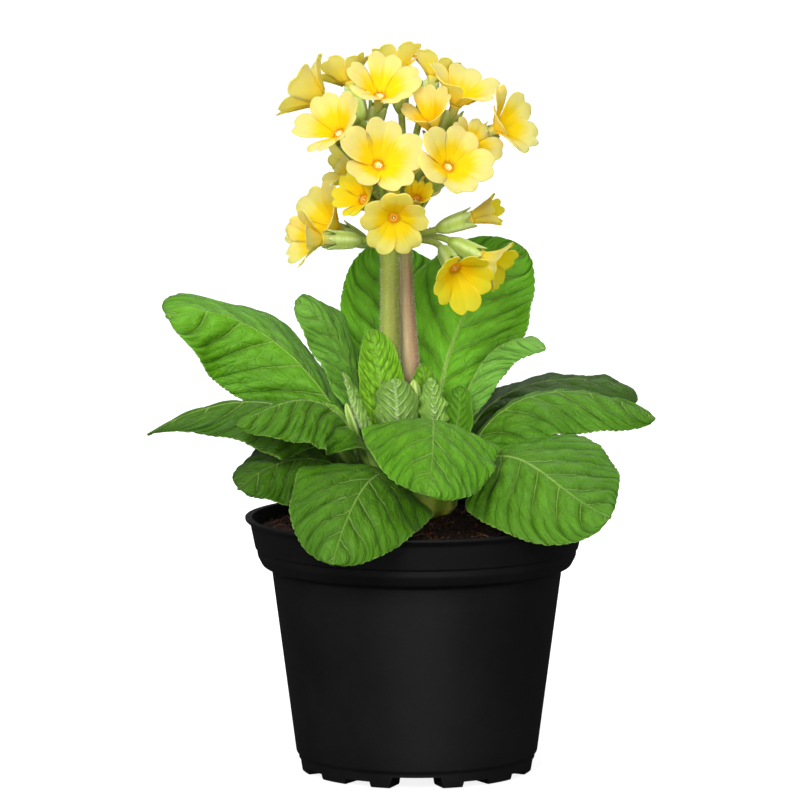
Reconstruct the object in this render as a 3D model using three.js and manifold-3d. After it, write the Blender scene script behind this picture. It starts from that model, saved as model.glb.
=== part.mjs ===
// A cowslip in flower, standing in the black nursery pot it is sold in.
// Millimetres, +Z up, the front of the plant towards -Y, the pot standing on z = 0.
import * as THREE from 'three';
import { mergeVertices } from 'three/addons/utils/BufferGeometryUtils.js';
import Module from 'manifold-3d';

const wasm = await Module();
wasm.setup();

// Driving dimensions.
// The pot's axis stands a little right of the middle of the whole spread of leaves.
const POT_AXIS_X = 5.5;
const POT_HEIGHT = 89;
const POT_SEGMENTS = 36;
const FOOT_HEIGHT = 4;
const FOOT_INNER_RADIUS = 32;
const FOOT_OUTER_RADIUS = 41;
const NOTCH_COUNT = 12;
const LOW_NOTCH_HEIGHT = 2;
const DRAIN_RADIUS = 2.2;
const DRAIN_CIRCLE = 36;

// Loose fit between two pieces that touch.
const FIT = 0.3;

// The short rootstock that all leaves and both flower stems come out of.
const CROWN = { x: -2.5, y: 0, halfLength: 17, halfDepth: 12 };

// A leaf's blade is as thin as it can be cast; its stalk is thick and channelled.
const BLADE_THICKNESS = 0.8;
const STALK_THICKNESS = 2.4;
const STALK_HALF_WIDTH = 2.7;

// A flower's tube goes down into its calyx.
const TUBE_LENGTH = 12.8;
const TUBE_RADIUS = 1.7;
const PETAL_THICKNESS = 0.75;
const CALYX_LENGTH = 16;
const PETALS = 5;
const HALF_PETAL_ANGLE = 36;

const DEGREE = Math.PI / 180;

// Materials.
function material(color, roughness) {
  return new THREE.MeshStandardMaterial({ color, roughness, metalness: 0 });
}
const POT_BLACK = material(0x17181a, 0.42);
const SOIL_BROWN = material(0x3a2118, 0.95);
const CROWN_GREEN = material(0x8f9a3e, 0.7);
const LEAF_GREEN = material(0x3f8a22, 0.5);
const YOUNG_GREEN = material(0x7db32e, 0.55);
const STEM_OLIVE = material(0x93984a, 0.75);
const STEM_ROSE = material(0xa98368, 0.75);
const PETAL_YELLOW = material(0xf8e25a, 0.6);
const PETAL_DEEP = material(0xf7d81c, 0.6);
const BUD_GREEN = material(0xa9c65a, 0.6);

// Closed skins.
// Collects points and triangles of one closed body.
class Skin {
  constructor() {
    this.points = [];
    this.faces = [];
  }

  add(point) {
    this.points.push(point);
    return this.points.length - 1;
  }

  ring(points) {
    return points.map((point) => this.add(point));
  }

  triangle(a, b, c) {
    this.faces.push(a, b, c);
  }

  quad(a, b, c, d) {
    this.triangle(a, b, c);
    this.triangle(a, c, d);
  }

  // Joins two rings that go the same way round. The longer may have a multiple of the shorter's points.
  join(lower, upper) {
    const count = Math.max(lower.length, upper.length);
    const at = (ring, i) => ring[Math.floor((i * ring.length) / count) % ring.length];
    const after = (ring, i) => ring[Math.floor(((i + 1) * ring.length) / count) % ring.length];
    for (let i = 0; i < count; i += 1) {
      const [a, b, c, d] = [at(lower, i), after(lower, i), after(upper, i), at(upper, i)];
      if (a !== b) this.triangle(a, b, c);
      if (c !== d) this.triangle(a, c, d);
    }
  }

  geometry() {
    const flat = this.faces.flatMap((index) => this.points[index].toArray());
    return new THREE.BufferGeometry().setAttribute('position', new THREE.Float32BufferAttribute(flat, 3));
  }
}

// A body that booleans can join and cut, from any closed geometry.
function bodyOf(geometry) {
  const bare = new THREE.BufferGeometry();
  bare.setAttribute('position', geometry.getAttribute('position'));
  if (geometry.index) bare.setIndex(geometry.index);
  const merged = mergeVertices(bare, 1e-4);
  const kept = [];
  const index = merged.index.array;
  for (let i = 0; i < index.length; i += 3) {
    const [a, b, c] = [index[i], index[i + 1], index[i + 2]];
    if (a !== b && b !== c && a !== c) kept.push(a, b, c);
  }
  const vertProperties = new Float32Array(merged.attributes.position.array);
  const triVerts = new Uint32Array(kept);
  return new wasm.Manifold(new wasm.Mesh({ numProp: 3, vertProperties, triVerts }));
}

function geometryOf(body) {
  const mesh = body.getMesh();
  const geometry = new THREE.BufferGeometry();
  geometry.setAttribute('position', new THREE.BufferAttribute(new Float32Array(mesh.vertProperties), 3));
  geometry.setIndex(Array.from(mesh.triVerts));
  return geometry;
}

// A profile of (radius, height) points turned about the upright axis.
function turned(profile, segments) {
  const points = profile.map(([radius, height]) => new THREE.Vector2(radius, height));
  return new THREE.LatheGeometry(points, segments).rotateX(Math.PI / 2);
}

const smooth = (x) => {
  const t = Math.min(1, Math.max(0, x));
  return t * t * (3 - 2 * t);
};
const blend = (a, b, t) => a + (b - a) * t;

// A repeatable unevenness between -1 and 1.
const uneven = (a, b) => {
  const wave = Math.sin(a * 12.9898 + b * 78.233) * 43758.5453;
  return 2 * (wave - Math.floor(wave)) - 1;
};

// The pot.
function makePot() {
  const outside = [
    [0, FOOT_HEIGHT], [FOOT_INNER_RADIUS, FOOT_HEIGHT], [FOOT_INNER_RADIUS, 0], [FOOT_OUTER_RADIUS, 0],
    [41.6, 5.2], [42.4, 6.2], [50.8, 71], [54, 72.3], [55.7, 75.6], [55.9, 77.9], [56.5, 78.3],
    [58.2, 86.6], [60, 88.2], [60, POT_HEIGHT],
  ];
  const inside = [
    [57.6, POT_HEIGHT], [56.9, 86], [54.9, 76.6], [53.2, 74.4], [49.6, 72.2], [40.6, 7.5],
    [39.4, 5.2], [0, 5.2],
  ];
  let pot = bodyOf(turned([...outside, ...inside], POT_SEGMENTS));
  // Slanted notches part the foot ring into feet; every third is tall and every other one drains.
  for (let i = 0; i < NOTCH_COUNT; i += 1) {
    const turn = (i * 2 * Math.PI) / NOTCH_COUNT;
    pot = pot.subtract(bodyOf(notchShape(i % 3 === 0 ? TALL_NOTCH : LOW_NOTCH).rotateZ(turn)));
    if (i % 2 === 0) {
      const length = 2 * FOOT_HEIGHT;
      const drain = new THREE.CylinderGeometry(DRAIN_RADIUS, DRAIN_RADIUS, length, 8);
      drain.rotateX(Math.PI / 2).translate(0, -DRAIN_CIRCLE, length / 2 + 0.5).rotateZ(turn);
      pot = pot.subtract(bodyOf(drain));
    }
  }
  return geometryOf(pot);
}

// Half the width of a notch outside and inside the foot ring, at its lower and upper edge.
const TALL_NOTCH = { height: FOOT_HEIGHT, outside: [11, 9.2], inside: [6, 5.2] };
const LOW_NOTCH = { height: LOW_NOTCH_HEIGHT, outside: [5.6, 4.9], inside: [5, 4.5] };

// A notch through the foot ring at the front.
function notchShape({ height, outside, inside }) {
  const skin = new Skin();
  const face = ([below, above], y) => [
    new THREE.Vector3(-below, y, -1), new THREE.Vector3(below, y, -1),
    new THREE.Vector3(above, y, height), new THREE.Vector3(-above, y, height),
  ];
  const front = skin.ring(face(outside, -FOOT_OUTER_RADIUS - 2));
  const back = skin.ring(face(inside, -FOOT_INNER_RADIUS + 1));
  skin.quad(...front);
  skin.join(back, front);
  skin.quad(...[...back].reverse());
  return skin.geometry();
}

// Soil and crown.
function crownShape(grow) {
  const levels = [[11, 83 - grow], [13, 88], [16.3, 92.5], [17, 97.5], [15.5, 103], [10.5, 108 + grow]];
  const skin = new Skin();
  const sides = 14;
  const at = (radius, z, lump) => {
    const points = [];
    for (let i = 0; i < sides; i += 1) {
      const angle = (i * 2 * Math.PI) / sides;
      const reach = (radius / CROWN.halfLength) * (1 + lump * uneven(i, z)) + grow / CROWN.halfDepth;
      const x = CROWN.x + CROWN.halfLength * reach * Math.cos(angle);
      const y = CROWN.y + CROWN.halfDepth * reach * Math.sin(angle);
      points.push(new THREE.Vector3(x, y, z));
    }
    return points;
  };
  const rings = levels.map(([radius, z]) => skin.ring(at(radius, z, 0.03)));
  const bottom = skin.ring([new THREE.Vector3(CROWN.x, CROWN.y, 83 - grow)]);
  const top = skin.ring([new THREE.Vector3(CROWN.x, CROWN.y, 109.5 + grow)]);
  const all = [bottom, ...rings, top];
  for (let i = 0; i + 1 < all.length; i += 1) skin.join(all[i], all[i + 1]);
  return skin.geometry();
}

function makeSoil() {
  const sides = 24;
  const wall = [[39, 5.6], [49.1, 72.6], [52.7, 74.9], [54.3, 76.9], [55.9, 84.4]];
  const mound = [[49, 86.2], [38, 87.6], [26, 88.8], [16, 89.8]];
  const skin = new Skin();
  const circle = (radius, z, lump) => {
    const points = [];
    for (let i = 0; i < sides; i += 1) {
      const angle = (i * 2 * Math.PI) / sides;
      const height = z + lump * uneven(i, radius);
      points.push(new THREE.Vector3(radius * Math.cos(angle), radius * Math.sin(angle), height));
    }
    return points;
  };
  const rings = [
    skin.ring([new THREE.Vector3(0, 0, 5.6)]),
    ...wall.map(([radius, z]) => skin.ring(circle(radius, z, 0))),
    ...mound.map(([radius, z]) => skin.ring(circle(radius, z, 0.9))),
    skin.ring([new THREE.Vector3(0, 0, 90)]),
  ];
  for (let i = 0; i + 1 < rings.length; i += 1) skin.join(rings[i], rings[i + 1]);
  return geometryOf(bodyOf(skin.geometry()).subtract(bodyOf(crownShape(FIT))));
}

// Leaves.
// The curve along a midrib, through four points: its root, one third, two thirds and its tip.
function curveThrough([root, third, twoThirds, tip]) {
  const [a, b, c, d] = [root, third, twoThirds, tip].map((point) => new THREE.Vector3(...point));
  const control = (p, q, r, s) => p.clone().multiplyScalar(-5 / 6)
    .addScaledVector(q, 3).addScaledVector(r, -1.5).addScaledVector(s, 1 / 3);
  return new THREE.CubicBezierCurve3(a, control(a, b, c, d), control(d, c, b, a), d);
}

// How wide a blade is along its midrib, as a share of its half width.
function bladeShare(u, { half, stalk, widest, end }) {
  const least = STALK_HALF_WIDTH / Math.max(half, 3.2);
  const body = blend(least, 1, smooth((u - stalk) / (widest - stalk)));
  if (u <= widest) return body;
  const beyond = (u - widest) / (1 - widest);
  return Math.max(0.13, body * Math.max(0, 1 - beyond ** end[0]) ** end[1]);
}

// The upright and sideways directions of a leaf at a point along its midrib.
function leafFrame(curve, u, leaf) {
  const [root, tip] = [curve.v0, curve.v3];
  const heading = leaf.heading === undefined
    ? Math.atan2(tip.y - root.y, tip.x - root.x)
    : leaf.heading * DEGREE;
  const along = curve.getTangent(Math.min(0.999, Math.max(0.001, u)));
  const side = new THREE.Vector3(Math.sin(heading), -Math.cos(heading), 0);
  side.addScaledVector(along, -side.dot(along)).normalize();
  const up = new THREE.Vector3().crossVectors(side, along).normalize();
  const roll = blend(leaf.roll[0], leaf.roll[1], smooth(u)) * DEGREE;
  const rolledSide = side.clone().multiplyScalar(Math.cos(roll)).addScaledVector(up, Math.sin(roll));
  const rolledUp = up.clone().multiplyScalar(Math.cos(roll)).addScaledVector(side, -Math.sin(roll));
  return { side: rolledSide, up: rolledUp };
}

// A point of the blade's upper face and the direction that faces away from it.
// across runs from -1 (left margin, looking from root to tip) to 1 (right margin).
function leafPoint(curve, leaf, along, across) {
  const reach = Math.abs(across);
  const sign = Math.sign(across);
  const u = Math.min(1, along + leaf.slant * reach * along * (1 - along) * 2.2);
  const share = bladeShare(u, leaf);
  const half = leaf.half * share * (1 + leaf.skew * across);
  const open = smooth((u - leaf.stalk * 0.5) / 0.25);
  // Each half of the blade leaves the midrib at the fold and then bends by the curl.
  const channel = 34 * (1 - open);
  const fold = (leaf.fold * open + channel) * DEGREE;
  const curl = leaf.curl * open * DEGREE + 1e-4;
  const angle = fold + curl * reach;
  const sideways = (half * (Math.sin(angle) - Math.sin(fold))) / curl;
  const upwards = (half * (Math.cos(fold) - Math.cos(angle))) / curl;
  const frame = leafFrame(curve, u, leaf);
  const normal = frame.up.clone().multiplyScalar(Math.cos(angle));
  normal.addScaledVector(frame.side, -sign * Math.sin(angle));
  const point = curve.getPoint(u).addScaledVector(frame.side, sign * sideways);
  point.addScaledVector(frame.up, upwards);
  // The margin waves, more strongly the farther out, and differently on either side.
  const ripple = Math.sin(2 * Math.PI * (leaf.waves * u + (sign > 0 ? 0.15 : 0.6)));
  point.addScaledVector(normal, leaf.ripple * ripple * reach ** 3 * open * share);
  return { point, normal, open, half };
}

// The blade puffs up between its side veins, which run out to the margin in pairs.
function quilt(row, across, leaf, open) {
  const puffed = row % 2 === 1 ? 1 : -1;
  return leaf.quilt * puffed * open * Math.sin(Math.PI * Math.min(1, Math.abs(across) * 1.15));
}

function makeLeaf(leaf) {
  const curve = curveThrough(leaf.midrib);
  const [rows, columns] = leaf.grid;
  const across = columns === 6 ? [-1, -0.62, -0.2, 0, 0.2, 0.62, 1] : [-1, -0.45, 0, 0.45, 1];
  const skin = new Skin();
  const upper = [];
  const lower = [];
  for (let i = 0; i <= rows; i += 1) {
    const along = 1 - (1 - i / rows) ** 1.2;
    const upperRow = [];
    const lowerRow = [];
    for (const v of across) {
      const { point, normal, open } = leafPoint(curve, leaf, along, v);
      const inner = i > 0 && i < rows ? quilt(i, v, leaf, open) : 0;
      // The midrib lies in a groove above and stands out as a keel below.
      const groove = v === 0 ? 0.35 * open : 0;
      const keel = v === 0 ? 1.7 * (1 - along) ** 1.2 + 0.25 : 0;
      const thickness = blend(STALK_THICKNESS, BLADE_THICKNESS, smooth(open)) * leaf.gauge;
      upperRow.push(skin.add(point.clone().addScaledVector(normal, inner - groove)));
      const deep = inner - groove - thickness - keel * leaf.gauge;
      lowerRow.push(skin.add(point.clone().addScaledVector(normal, deep)));
    }
    upper.push(upperRow);
    lower.push(lowerRow);
  }
  const last = across.length - 1;
  for (let i = 0; i < rows; i += 1) {
    for (let j = 0; j < last; j += 1) {
      skin.quad(upper[i][j], upper[i][j + 1], upper[i + 1][j + 1], upper[i + 1][j]);
      // The same diagonal as above, so that both faces bend alike.
      skin.triangle(lower[i][j], lower[i + 1][j + 1], lower[i][j + 1]);
      skin.triangle(lower[i][j], lower[i + 1][j], lower[i + 1][j + 1]);
    }
    skin.quad(upper[i][0], upper[i + 1][0], lower[i + 1][0], lower[i][0]);
    skin.quad(upper[i][last], lower[i][last], lower[i + 1][last], upper[i + 1][last]);
  }
  for (let j = 0; j < last; j += 1) {
    skin.quad(upper[0][j], lower[0][j], lower[0][j + 1], upper[0][j + 1]);
    skin.quad(upper[rows][j], upper[rows][j + 1], lower[rows][j + 1], lower[rows][j]);
  }
  const blade = bodyOf(skin.geometry());
  return geometryOf(blade.subtract(bodyOf(crownShape(FIT))));
}

// Three sizes of leaf, each with the fields that most leaves of the size share.
const LARGE = {
  half: 23, stalk: 0.16, widest: 0.62, end: [2.3, 0.5], skew: 0, slant: 0.35, fold: -6, curl: -14,
  roll: [0, 0], waves: 4, ripple: 1.5, quilt: 0.55, grid: [9, 6], gauge: 1, color: LEAF_GREEN,
};
const MIDDLE = { ...LARGE, half: 15, grid: [8, 4], quilt: 0.45, ripple: 1.2 };
const SMALL = {
  ...LARGE, half: 6, stalk: 0.1, widest: 0.55, quilt: 0.25, ripple: 0.5, grid: [6, 4], gauge: 0.8,
  fold: 12, curl: 18, color: YOUNG_GREEN,
};

const LEAVES = [
  // The big ones, round the plant from the far left to the far right by way of the front.
  { ...LARGE, name: 'leaf_upper_left', half: 25, stalk: 0.11, widest: 0.66, end: [2.8, 0.5],
    roll: [42, 34], fold: -26, curl: -14,
    midrib: [[-16, 5.8, 96], [-29, 11.5, 126], [-53.5, 18.5, 151], [-87, 12, 160.5]] },
  { ...LARGE, name: 'leaf_far_left', half: 21, widest: 0.4, end: [1.4, 1], roll: [12, 16], fold: -14,
    curl: -30, midrib: [[-17, -2, 94], [-37.5, -5, 124], [-64, -7.5, 129.8], [-94, -8, 119.5]] },
  { ...LARGE, name: 'leaf_mid_left', half: 17.6, stalk: 0.1, widest: 0.36, end: [2.6, 0.6], skew: -0.1,
    roll: [18, 14], fold: -18, curl: -28,
    midrib: [[-10, -10.8, 97], [-26.8, -18.6, 127], [-43, -26, 132.5], [-62, -32, 125.5]] },
  { ...LARGE, name: 'leaf_low_left', half: 20, end: [3.4, 0.5], roll: [10, 18],
    midrib: [[-12.2, -10.8, 92.6], [-27, -14.2, 105], [-44, -14, 107.5], [-62, -16, 101.5]] },
  { ...LARGE, name: 'leaf_front_left', half: 24.5, stalk: 0.15, widest: 0.46, end: [2, 0.56],
    roll: [22, 18],
    midrib: [[-1.6, -8, 92.5], [-11.5, -31, 108.3], [-21, -58, 101.5], [-28, -80, 84.5]] },
  { ...LARGE, name: 'leaf_front', half: 25, widest: 0.44, end: [2.2, 0.6], roll: [6, 17], fold: -8,
    curl: -14,
    midrib: [[1.2, -8.8, 97], [5.2, -23, 125.5], [5.5, -51, 120.5], [4, -73, 106.5]] },
  { ...LARGE, name: 'leaf_front_right', half: 25.5, stalk: 0.04, widest: 0.46, end: [2.4, 0.55],
    skew: 0.1, roll: [-22, -36],
    midrib: [[6, -5, 93], [28.5, -25, 113.5], [46, -44, 107.5], [65, -58, 97.5]] },
  { ...LARGE, name: 'leaf_far_right', half: 18.2, stalk: 0.14, widest: 0.45, end: [3, 0.55],
    roll: [-12, -16], fold: -14, curl: -28,
    midrib: [[12, -1.2, 95], [29.5, 0, 125.5], [56, 3, 131.5], [84, 5, 123]] },
  // Behind and above them.
  { ...MIDDLE, name: 'leaf_right_behind', half: 15, stalk: 0.2, widest: 0.68, end: [3.4, 0.5],
    roll: [4, -12],
    midrib: [[12.4, 5.2, 97.8], [27.5, 23, 127], [55, 40, 133], [78, 52, 129]] },
  { ...MIDDLE, name: 'leaf_right_rising', half: 9.8, widest: 0.5, roll: [-20, -30], fold: -36, curl: -16,
    midrib: [[9.3, 0.9, 101.6], [15, 3.6, 126], [25.5, 3, 146], [45, -2, 149.5]] },
  { ...LARGE, name: 'leaf_tall_right', half: 24.6, stalk: 0.1, widest: 0.54, end: [2.5, 0.54],
    heading: 78, fold: 4, curl: 6,
    midrib: [[5, 7.5, 101], [8.8, 18, 134], [18.1, 31, 158.5], [38, 42, 180]] },
  { ...LARGE, name: 'leaf_tall_left', half: 20, stalk: 0.1, widest: 0.52, end: [2, 0.6], fold: 4,
    curl: 6, midrib: [[-3, 7, 100], [-5, 24, 132], [-9, 42, 159], [-10.5, 54, 181]] },
  { ...MIDDLE, name: 'leaf_left_rising', half: 13, stalk: 0.1, widest: 0.6, end: [3.4, 0.5],
    roll: [34, 44],
    midrib: [[-14, 3.3, 101], [-17.5, 6.2, 123], [-25, 3, 146.5], [-40.8, -2, 165.5]] },
  { ...MIDDLE, name: 'leaf_back_left', half: 17,
    midrib: [[-10.1, 9.4, 97.7], [-23.7, 30.4, 114.8], [-40, 47, 118], [-55, 62, 111]] },
  { ...MIDDLE, name: 'leaf_back', half: 19,
    midrib: [[-0.7, 8.5, 97], [1, 32, 116.5], [2.5, 58, 119], [3.5, 82, 107]] },
  { ...MIDDLE, name: 'leaf_back_right', half: 17,
    midrib: [[7.5, 10.5, 97.1], [25.4, 32.7, 113.8], [43.5, 50, 117], [58, 66, 110]] },
  { ...MIDDLE, name: 'leaf_low_back_left', half: 16, roll: [6, 30],
    midrib: [[-5.5, 9.7, 93.4], [-17.3, 27.4, 100.5], [-34, 42, 104], [-52, 53, 99]] },
  { ...MIDDLE, name: 'leaf_low_back_right', half: 15,
    midrib: [[1.6, 10.3, 93.6], [9.4, 30.5, 100], [22, 51, 101.5], [31, 72, 95]] },
  // The young ones in the heart of the rosette.
  { ...SMALL, name: 'leaf_young_upright', half: 8.6, stalk: 0.2, heading: 100, quilt: 0.35, grid: [8, 4],
    midrib: [[-6, -4, 103], [-11.1, -6.7, 122], [-12.8, -8.8, 139], [-16, -11.5, 155]] },
  { ...SMALL, name: 'leaf_young_front', half: 7.8, heading: -90, fold: 8, curl: 20,
    midrib: [[-3.8, -8, 102], [-6.3, -13.4, 115], [-6.8, -16.5, 127], [-8.2, -16, 138.7]] },
  { ...SMALL, name: 'leaf_young_curled', half: 5, heading: -80, fold: -10, curl: -30,
    midrib: [[2.5, -4, 104], [4.5, -9, 115.5], [5.8, -10.7, 127], [4.5, -10.2, 138.5]] },
  { ...SMALL, name: 'leaf_young_hood', half: 6.5, heading: 90, fold: 15, curl: 45,
    midrib: [[1, -3, 104], [2.6, -3, 118], [3.2, -2, 131], [1.5, -3, 142]] },
  { ...SMALL, name: 'leaf_young_round', half: 6.3, heading: 75, color: LEAF_GREEN,
    midrib: [[8, -4.2, 102], [11.9, -5.8, 113], [14.4, -7.3, 124.5], [14.6, -7.5, 135.5]] },
  { ...SMALL, name: 'leaf_young_folded', half: 3.4, fold: 35, curl: 20,
    midrib: [[-10.5, -6.9, 104.8], [-16.8, -11.8, 119], [-21.6, -13, 129.5], [-24.2, -13.2, 141]] },
  { ...SMALL, name: 'leaf_young_rolled', half: 3.6, fold: 30, curl: 30,
    midrib: [[-16, -2.5, 100], [-19.8, -2.3, 111], [-25.2, -2.2, 121.5], [-31.5, -3.5, 130]] },
];

// Flowers.
// Where a petal's face is at a distance along it: out from the flower's axis, and forward.
function petalReach(distance, flower) {
  const steps = 6;
  let out = TUBE_RADIUS + 0.3;
  let forward = 0;
  for (let i = 0; i < steps; i += 1) {
    const share = ((i + 0.5) / steps) * (distance / flower.petal);
    const angle = blend(flower.open[0], flower.open[1], Math.min(1, share)) * DEGREE;
    out += (Math.cos(angle) * distance) / steps;
    forward += (Math.sin(angle) * distance) / steps;
  }
  return { out, forward };
}

// A petal's outline as angle, reach and tilt: cleft from the next petal, rounded, and notched at the
// middle of its end. The small flowers and those at the back have a simpler one.
const ROUND_EDGE = [
  [-36, 0.72, 0], [-26, 0.92, 0.5], [-12, 1, 0.3], [0, 0.92, 0], [12, 1, -0.3], [26, 0.92, -0.5],
];
const SIMPLE_EDGE = [[-36, 0.72, 0], [-17, 1, 0.5], [0, 0.9, 0], [17, 1, -0.5]];

// One flower's petals and tube, its face towards +Z and its eye at the origin.
function corollaSkin(flower) {
  const skin = new Skin();
  const place = (angle, out, forward) => {
    const turn = angle * DEGREE;
    return new THREE.Vector3(out * Math.cos(turn), out * Math.sin(turn), forward);
  };
  const circle = (count, out, forward) => {
    const points = [];
    for (let i = 0; i < count; i += 1) {
      const angle = flower.spin - HALF_PETAL_ANGLE + (i * 360) / count;
      points.push(place(angle, out, forward));
    }
    return skin.ring(points);
  };
  // Halfway out, each petal stands a little proud of the clefts on either side of it.
  const middle = (lift) => {
    const points = [];
    for (let i = 0; i < 2 * PETALS; i += 1) {
      const { out, forward } = petalReach(flower.petal * 0.48, flower);
      const proud = i % 2 === 0 ? -0.35 : 0.35;
      points.push(place(flower.spin + HALF_PETAL_ANGLE * (i - 1), out, forward + proud + lift));
    }
    return skin.ring(points);
  };
  // Each petal tilts a little, one edge over its neighbour and the other edge under.
  const edge = (lift) => {
    const points = [];
    for (let petal = 0; petal < PETALS; petal += 1) {
      const length = flower.petal * (1 + 0.05 * uneven(petal, flower.spin));
      for (const [angle, share, tilt] of flower.edge) {
        const { out, forward } = petalReach(length * share, flower);
        const turn = flower.spin + 2 * HALF_PETAL_ANGLE * petal + angle;
        points.push(place(turn, out, forward + tilt * flower.tilt + lift));
      }
    }
    return skin.ring(points);
  };
  const deep = flower.sunk - TUBE_LENGTH;
  const end = skin.ring([new THREE.Vector3(0, 0, deep)]);
  const bottom = circle(PETALS, TUBE_RADIUS - 0.4, deep);
  const neck = circle(PETALS, TUBE_RADIUS, -0.8);
  const slope = Math.cos(blend(flower.open[0], flower.open[1], 0.5) * DEGREE);
  const down = -PETAL_THICKNESS / Math.max(0.5, slope);
  const midBelow = middle(down);
  const edgeBelow = edge(down);
  const edgeAbove = edge(0);
  const midAbove = middle(0);
  const throat = circle(PETALS, 1.5, 0);
  const eye = skin.ring([new THREE.Vector3(0, 0, -1)]);
  const rings = [end, bottom, neck, midBelow, edgeBelow, edgeAbove, midAbove, throat, eye];
  for (let i = 0; i + 1 < rings.length; i += 1) skin.join(rings[i], rings[i + 1]);
  return skin.geometry();
}

// Turns a shape that faces +Z so that it faces a flower's way, and moves it to the flower's eye.
function faceLike(geometry, flower) {
  const facing = new THREE.Vector3(...flower.face).normalize();
  const turn = new THREE.Quaternion().setFromUnitVectors(new THREE.Vector3(0, 0, 1), facing);
  return geometry.applyQuaternion(turn).translate(...flower.eye);
}

// A ribbed cup with five teeth round the flower's tube.
function calyxSkin(flower) {
  const skin = new Skin();
  const around = (valley, ridge, valleyZ, ridgeZ) => {
    const points = [];
    for (let i = 0; i < 2 * PETALS; i += 1) {
      const turn = (flower.spin + HALF_PETAL_ANGLE * i) * DEGREE;
      const ridged = i % 2 === 0;
      const out = ridged ? ridge : valley;
      const z = ridged ? ridgeZ : valleyZ;
      points.push(new THREE.Vector3(out * Math.cos(turn), out * Math.sin(turn), z));
    }
    return skin.ring(points);
  };
  const rings = [
    skin.ring([new THREE.Vector3(0, 0, -CALYX_LENGTH)]),
    around(1.3, 1.5, -CALYX_LENGTH, -CALYX_LENGTH),
    around(2.7, 3.3, -11, -11),
    around(2.8, 3.8, -5.5, -2.6),
    around(TUBE_RADIUS + FIT, TUBE_RADIUS + 1.2, -5.6, -2.9),
    around(TUBE_RADIUS + FIT, TUBE_RADIUS + FIT, -13.2, -13.2).filter((point, i) => i % 2 === 0),
    skin.ring([new THREE.Vector3(0, 0, -13.2)]),
  ];
  for (let i = 0; i + 1 < rings.length; i += 1) skin.join(rings[i], rings[i + 1]);
  return skin.geometry().translate(0, 0, flower.sunk);
}

// A round stem that follows a curve, closed at both ends.
function stemSkin(curve, radii, sides, pieces) {
  const skin = new Skin();
  const frames = curve.computeFrenetFrames(pieces, false);
  const rings = [skin.ring([curve.getPoint(0)])];
  for (let i = 0; i <= pieces; i += 1) {
    const centre = curve.getPointAt(i / pieces);
    const radius = blend(radii[0], radii[1], i / pieces);
    const points = [];
    for (let k = 0; k < sides; k += 1) {
      const angle = (k * 2 * Math.PI) / sides;
      points.push(centre.clone()
        .addScaledVector(frames.normals[i], radius * Math.cos(angle))
        .addScaledVector(frames.binormals[i], radius * Math.sin(angle)));
    }
    rings.push(skin.ring(points));
  }
  rings.push(skin.ring([curve.getPoint(1)]));
  for (let i = 0; i + 1 < rings.length; i += 1) skin.join(rings[i], rings[i + 1]);
  return skin.geometry();
}

// The stalk from an umbel's hub to a flower's calyx, which it meets in the flower's own direction.
function stalkSkin(hub, flower) {
  const facing = new THREE.Vector3(...flower.face).normalize();
  const from = new THREE.Vector3(...hub);
  const to = new THREE.Vector3(...flower.eye).addScaledVector(facing, flower.sunk - CALYX_LENGTH + 1);
  const length = from.distanceTo(to);
  const rise = flower.leave ? new THREE.Vector3(...flower.leave) : to.clone().sub(from);
  rise.normalize();
  const curve = new THREE.CubicBezierCurve3(
    from,
    from.clone().addScaledVector(rise, length * 0.4),
    to.clone().addScaledVector(facing, -length * 0.35),
    to,
  );
  return stemSkin(curve, [1.15, 1.25], 5, 3);
}

const UMBELS = {
  left: { foot: [-9, 2, 96], hub: [-9.3, -1, 185.6], radii: [3.6, 3.3], color: STEM_OLIVE },
  right: { foot: [0.5, 4.5, 96], hub: [-4.6, 6.4, 186], radii: [3.1, 2.9], color: STEM_ROSE },
};

const WIDE = {
  petal: 13.3, open: [38, 12], spin: 90, tilt: 1.6, sunk: 0, edge: ROUND_EDGE, color: PETAL_YELLOW,
};
const CUPPED = { ...WIDE, petal: 14, open: [52, 28] };
const BACK = { ...CUPPED, edge: SIMPLE_EDGE };
const HALF = { ...WIDE, petal: 9.5, open: [74, 58], tilt: 0.6, sunk: 2.2, color: PETAL_DEEP };

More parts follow.
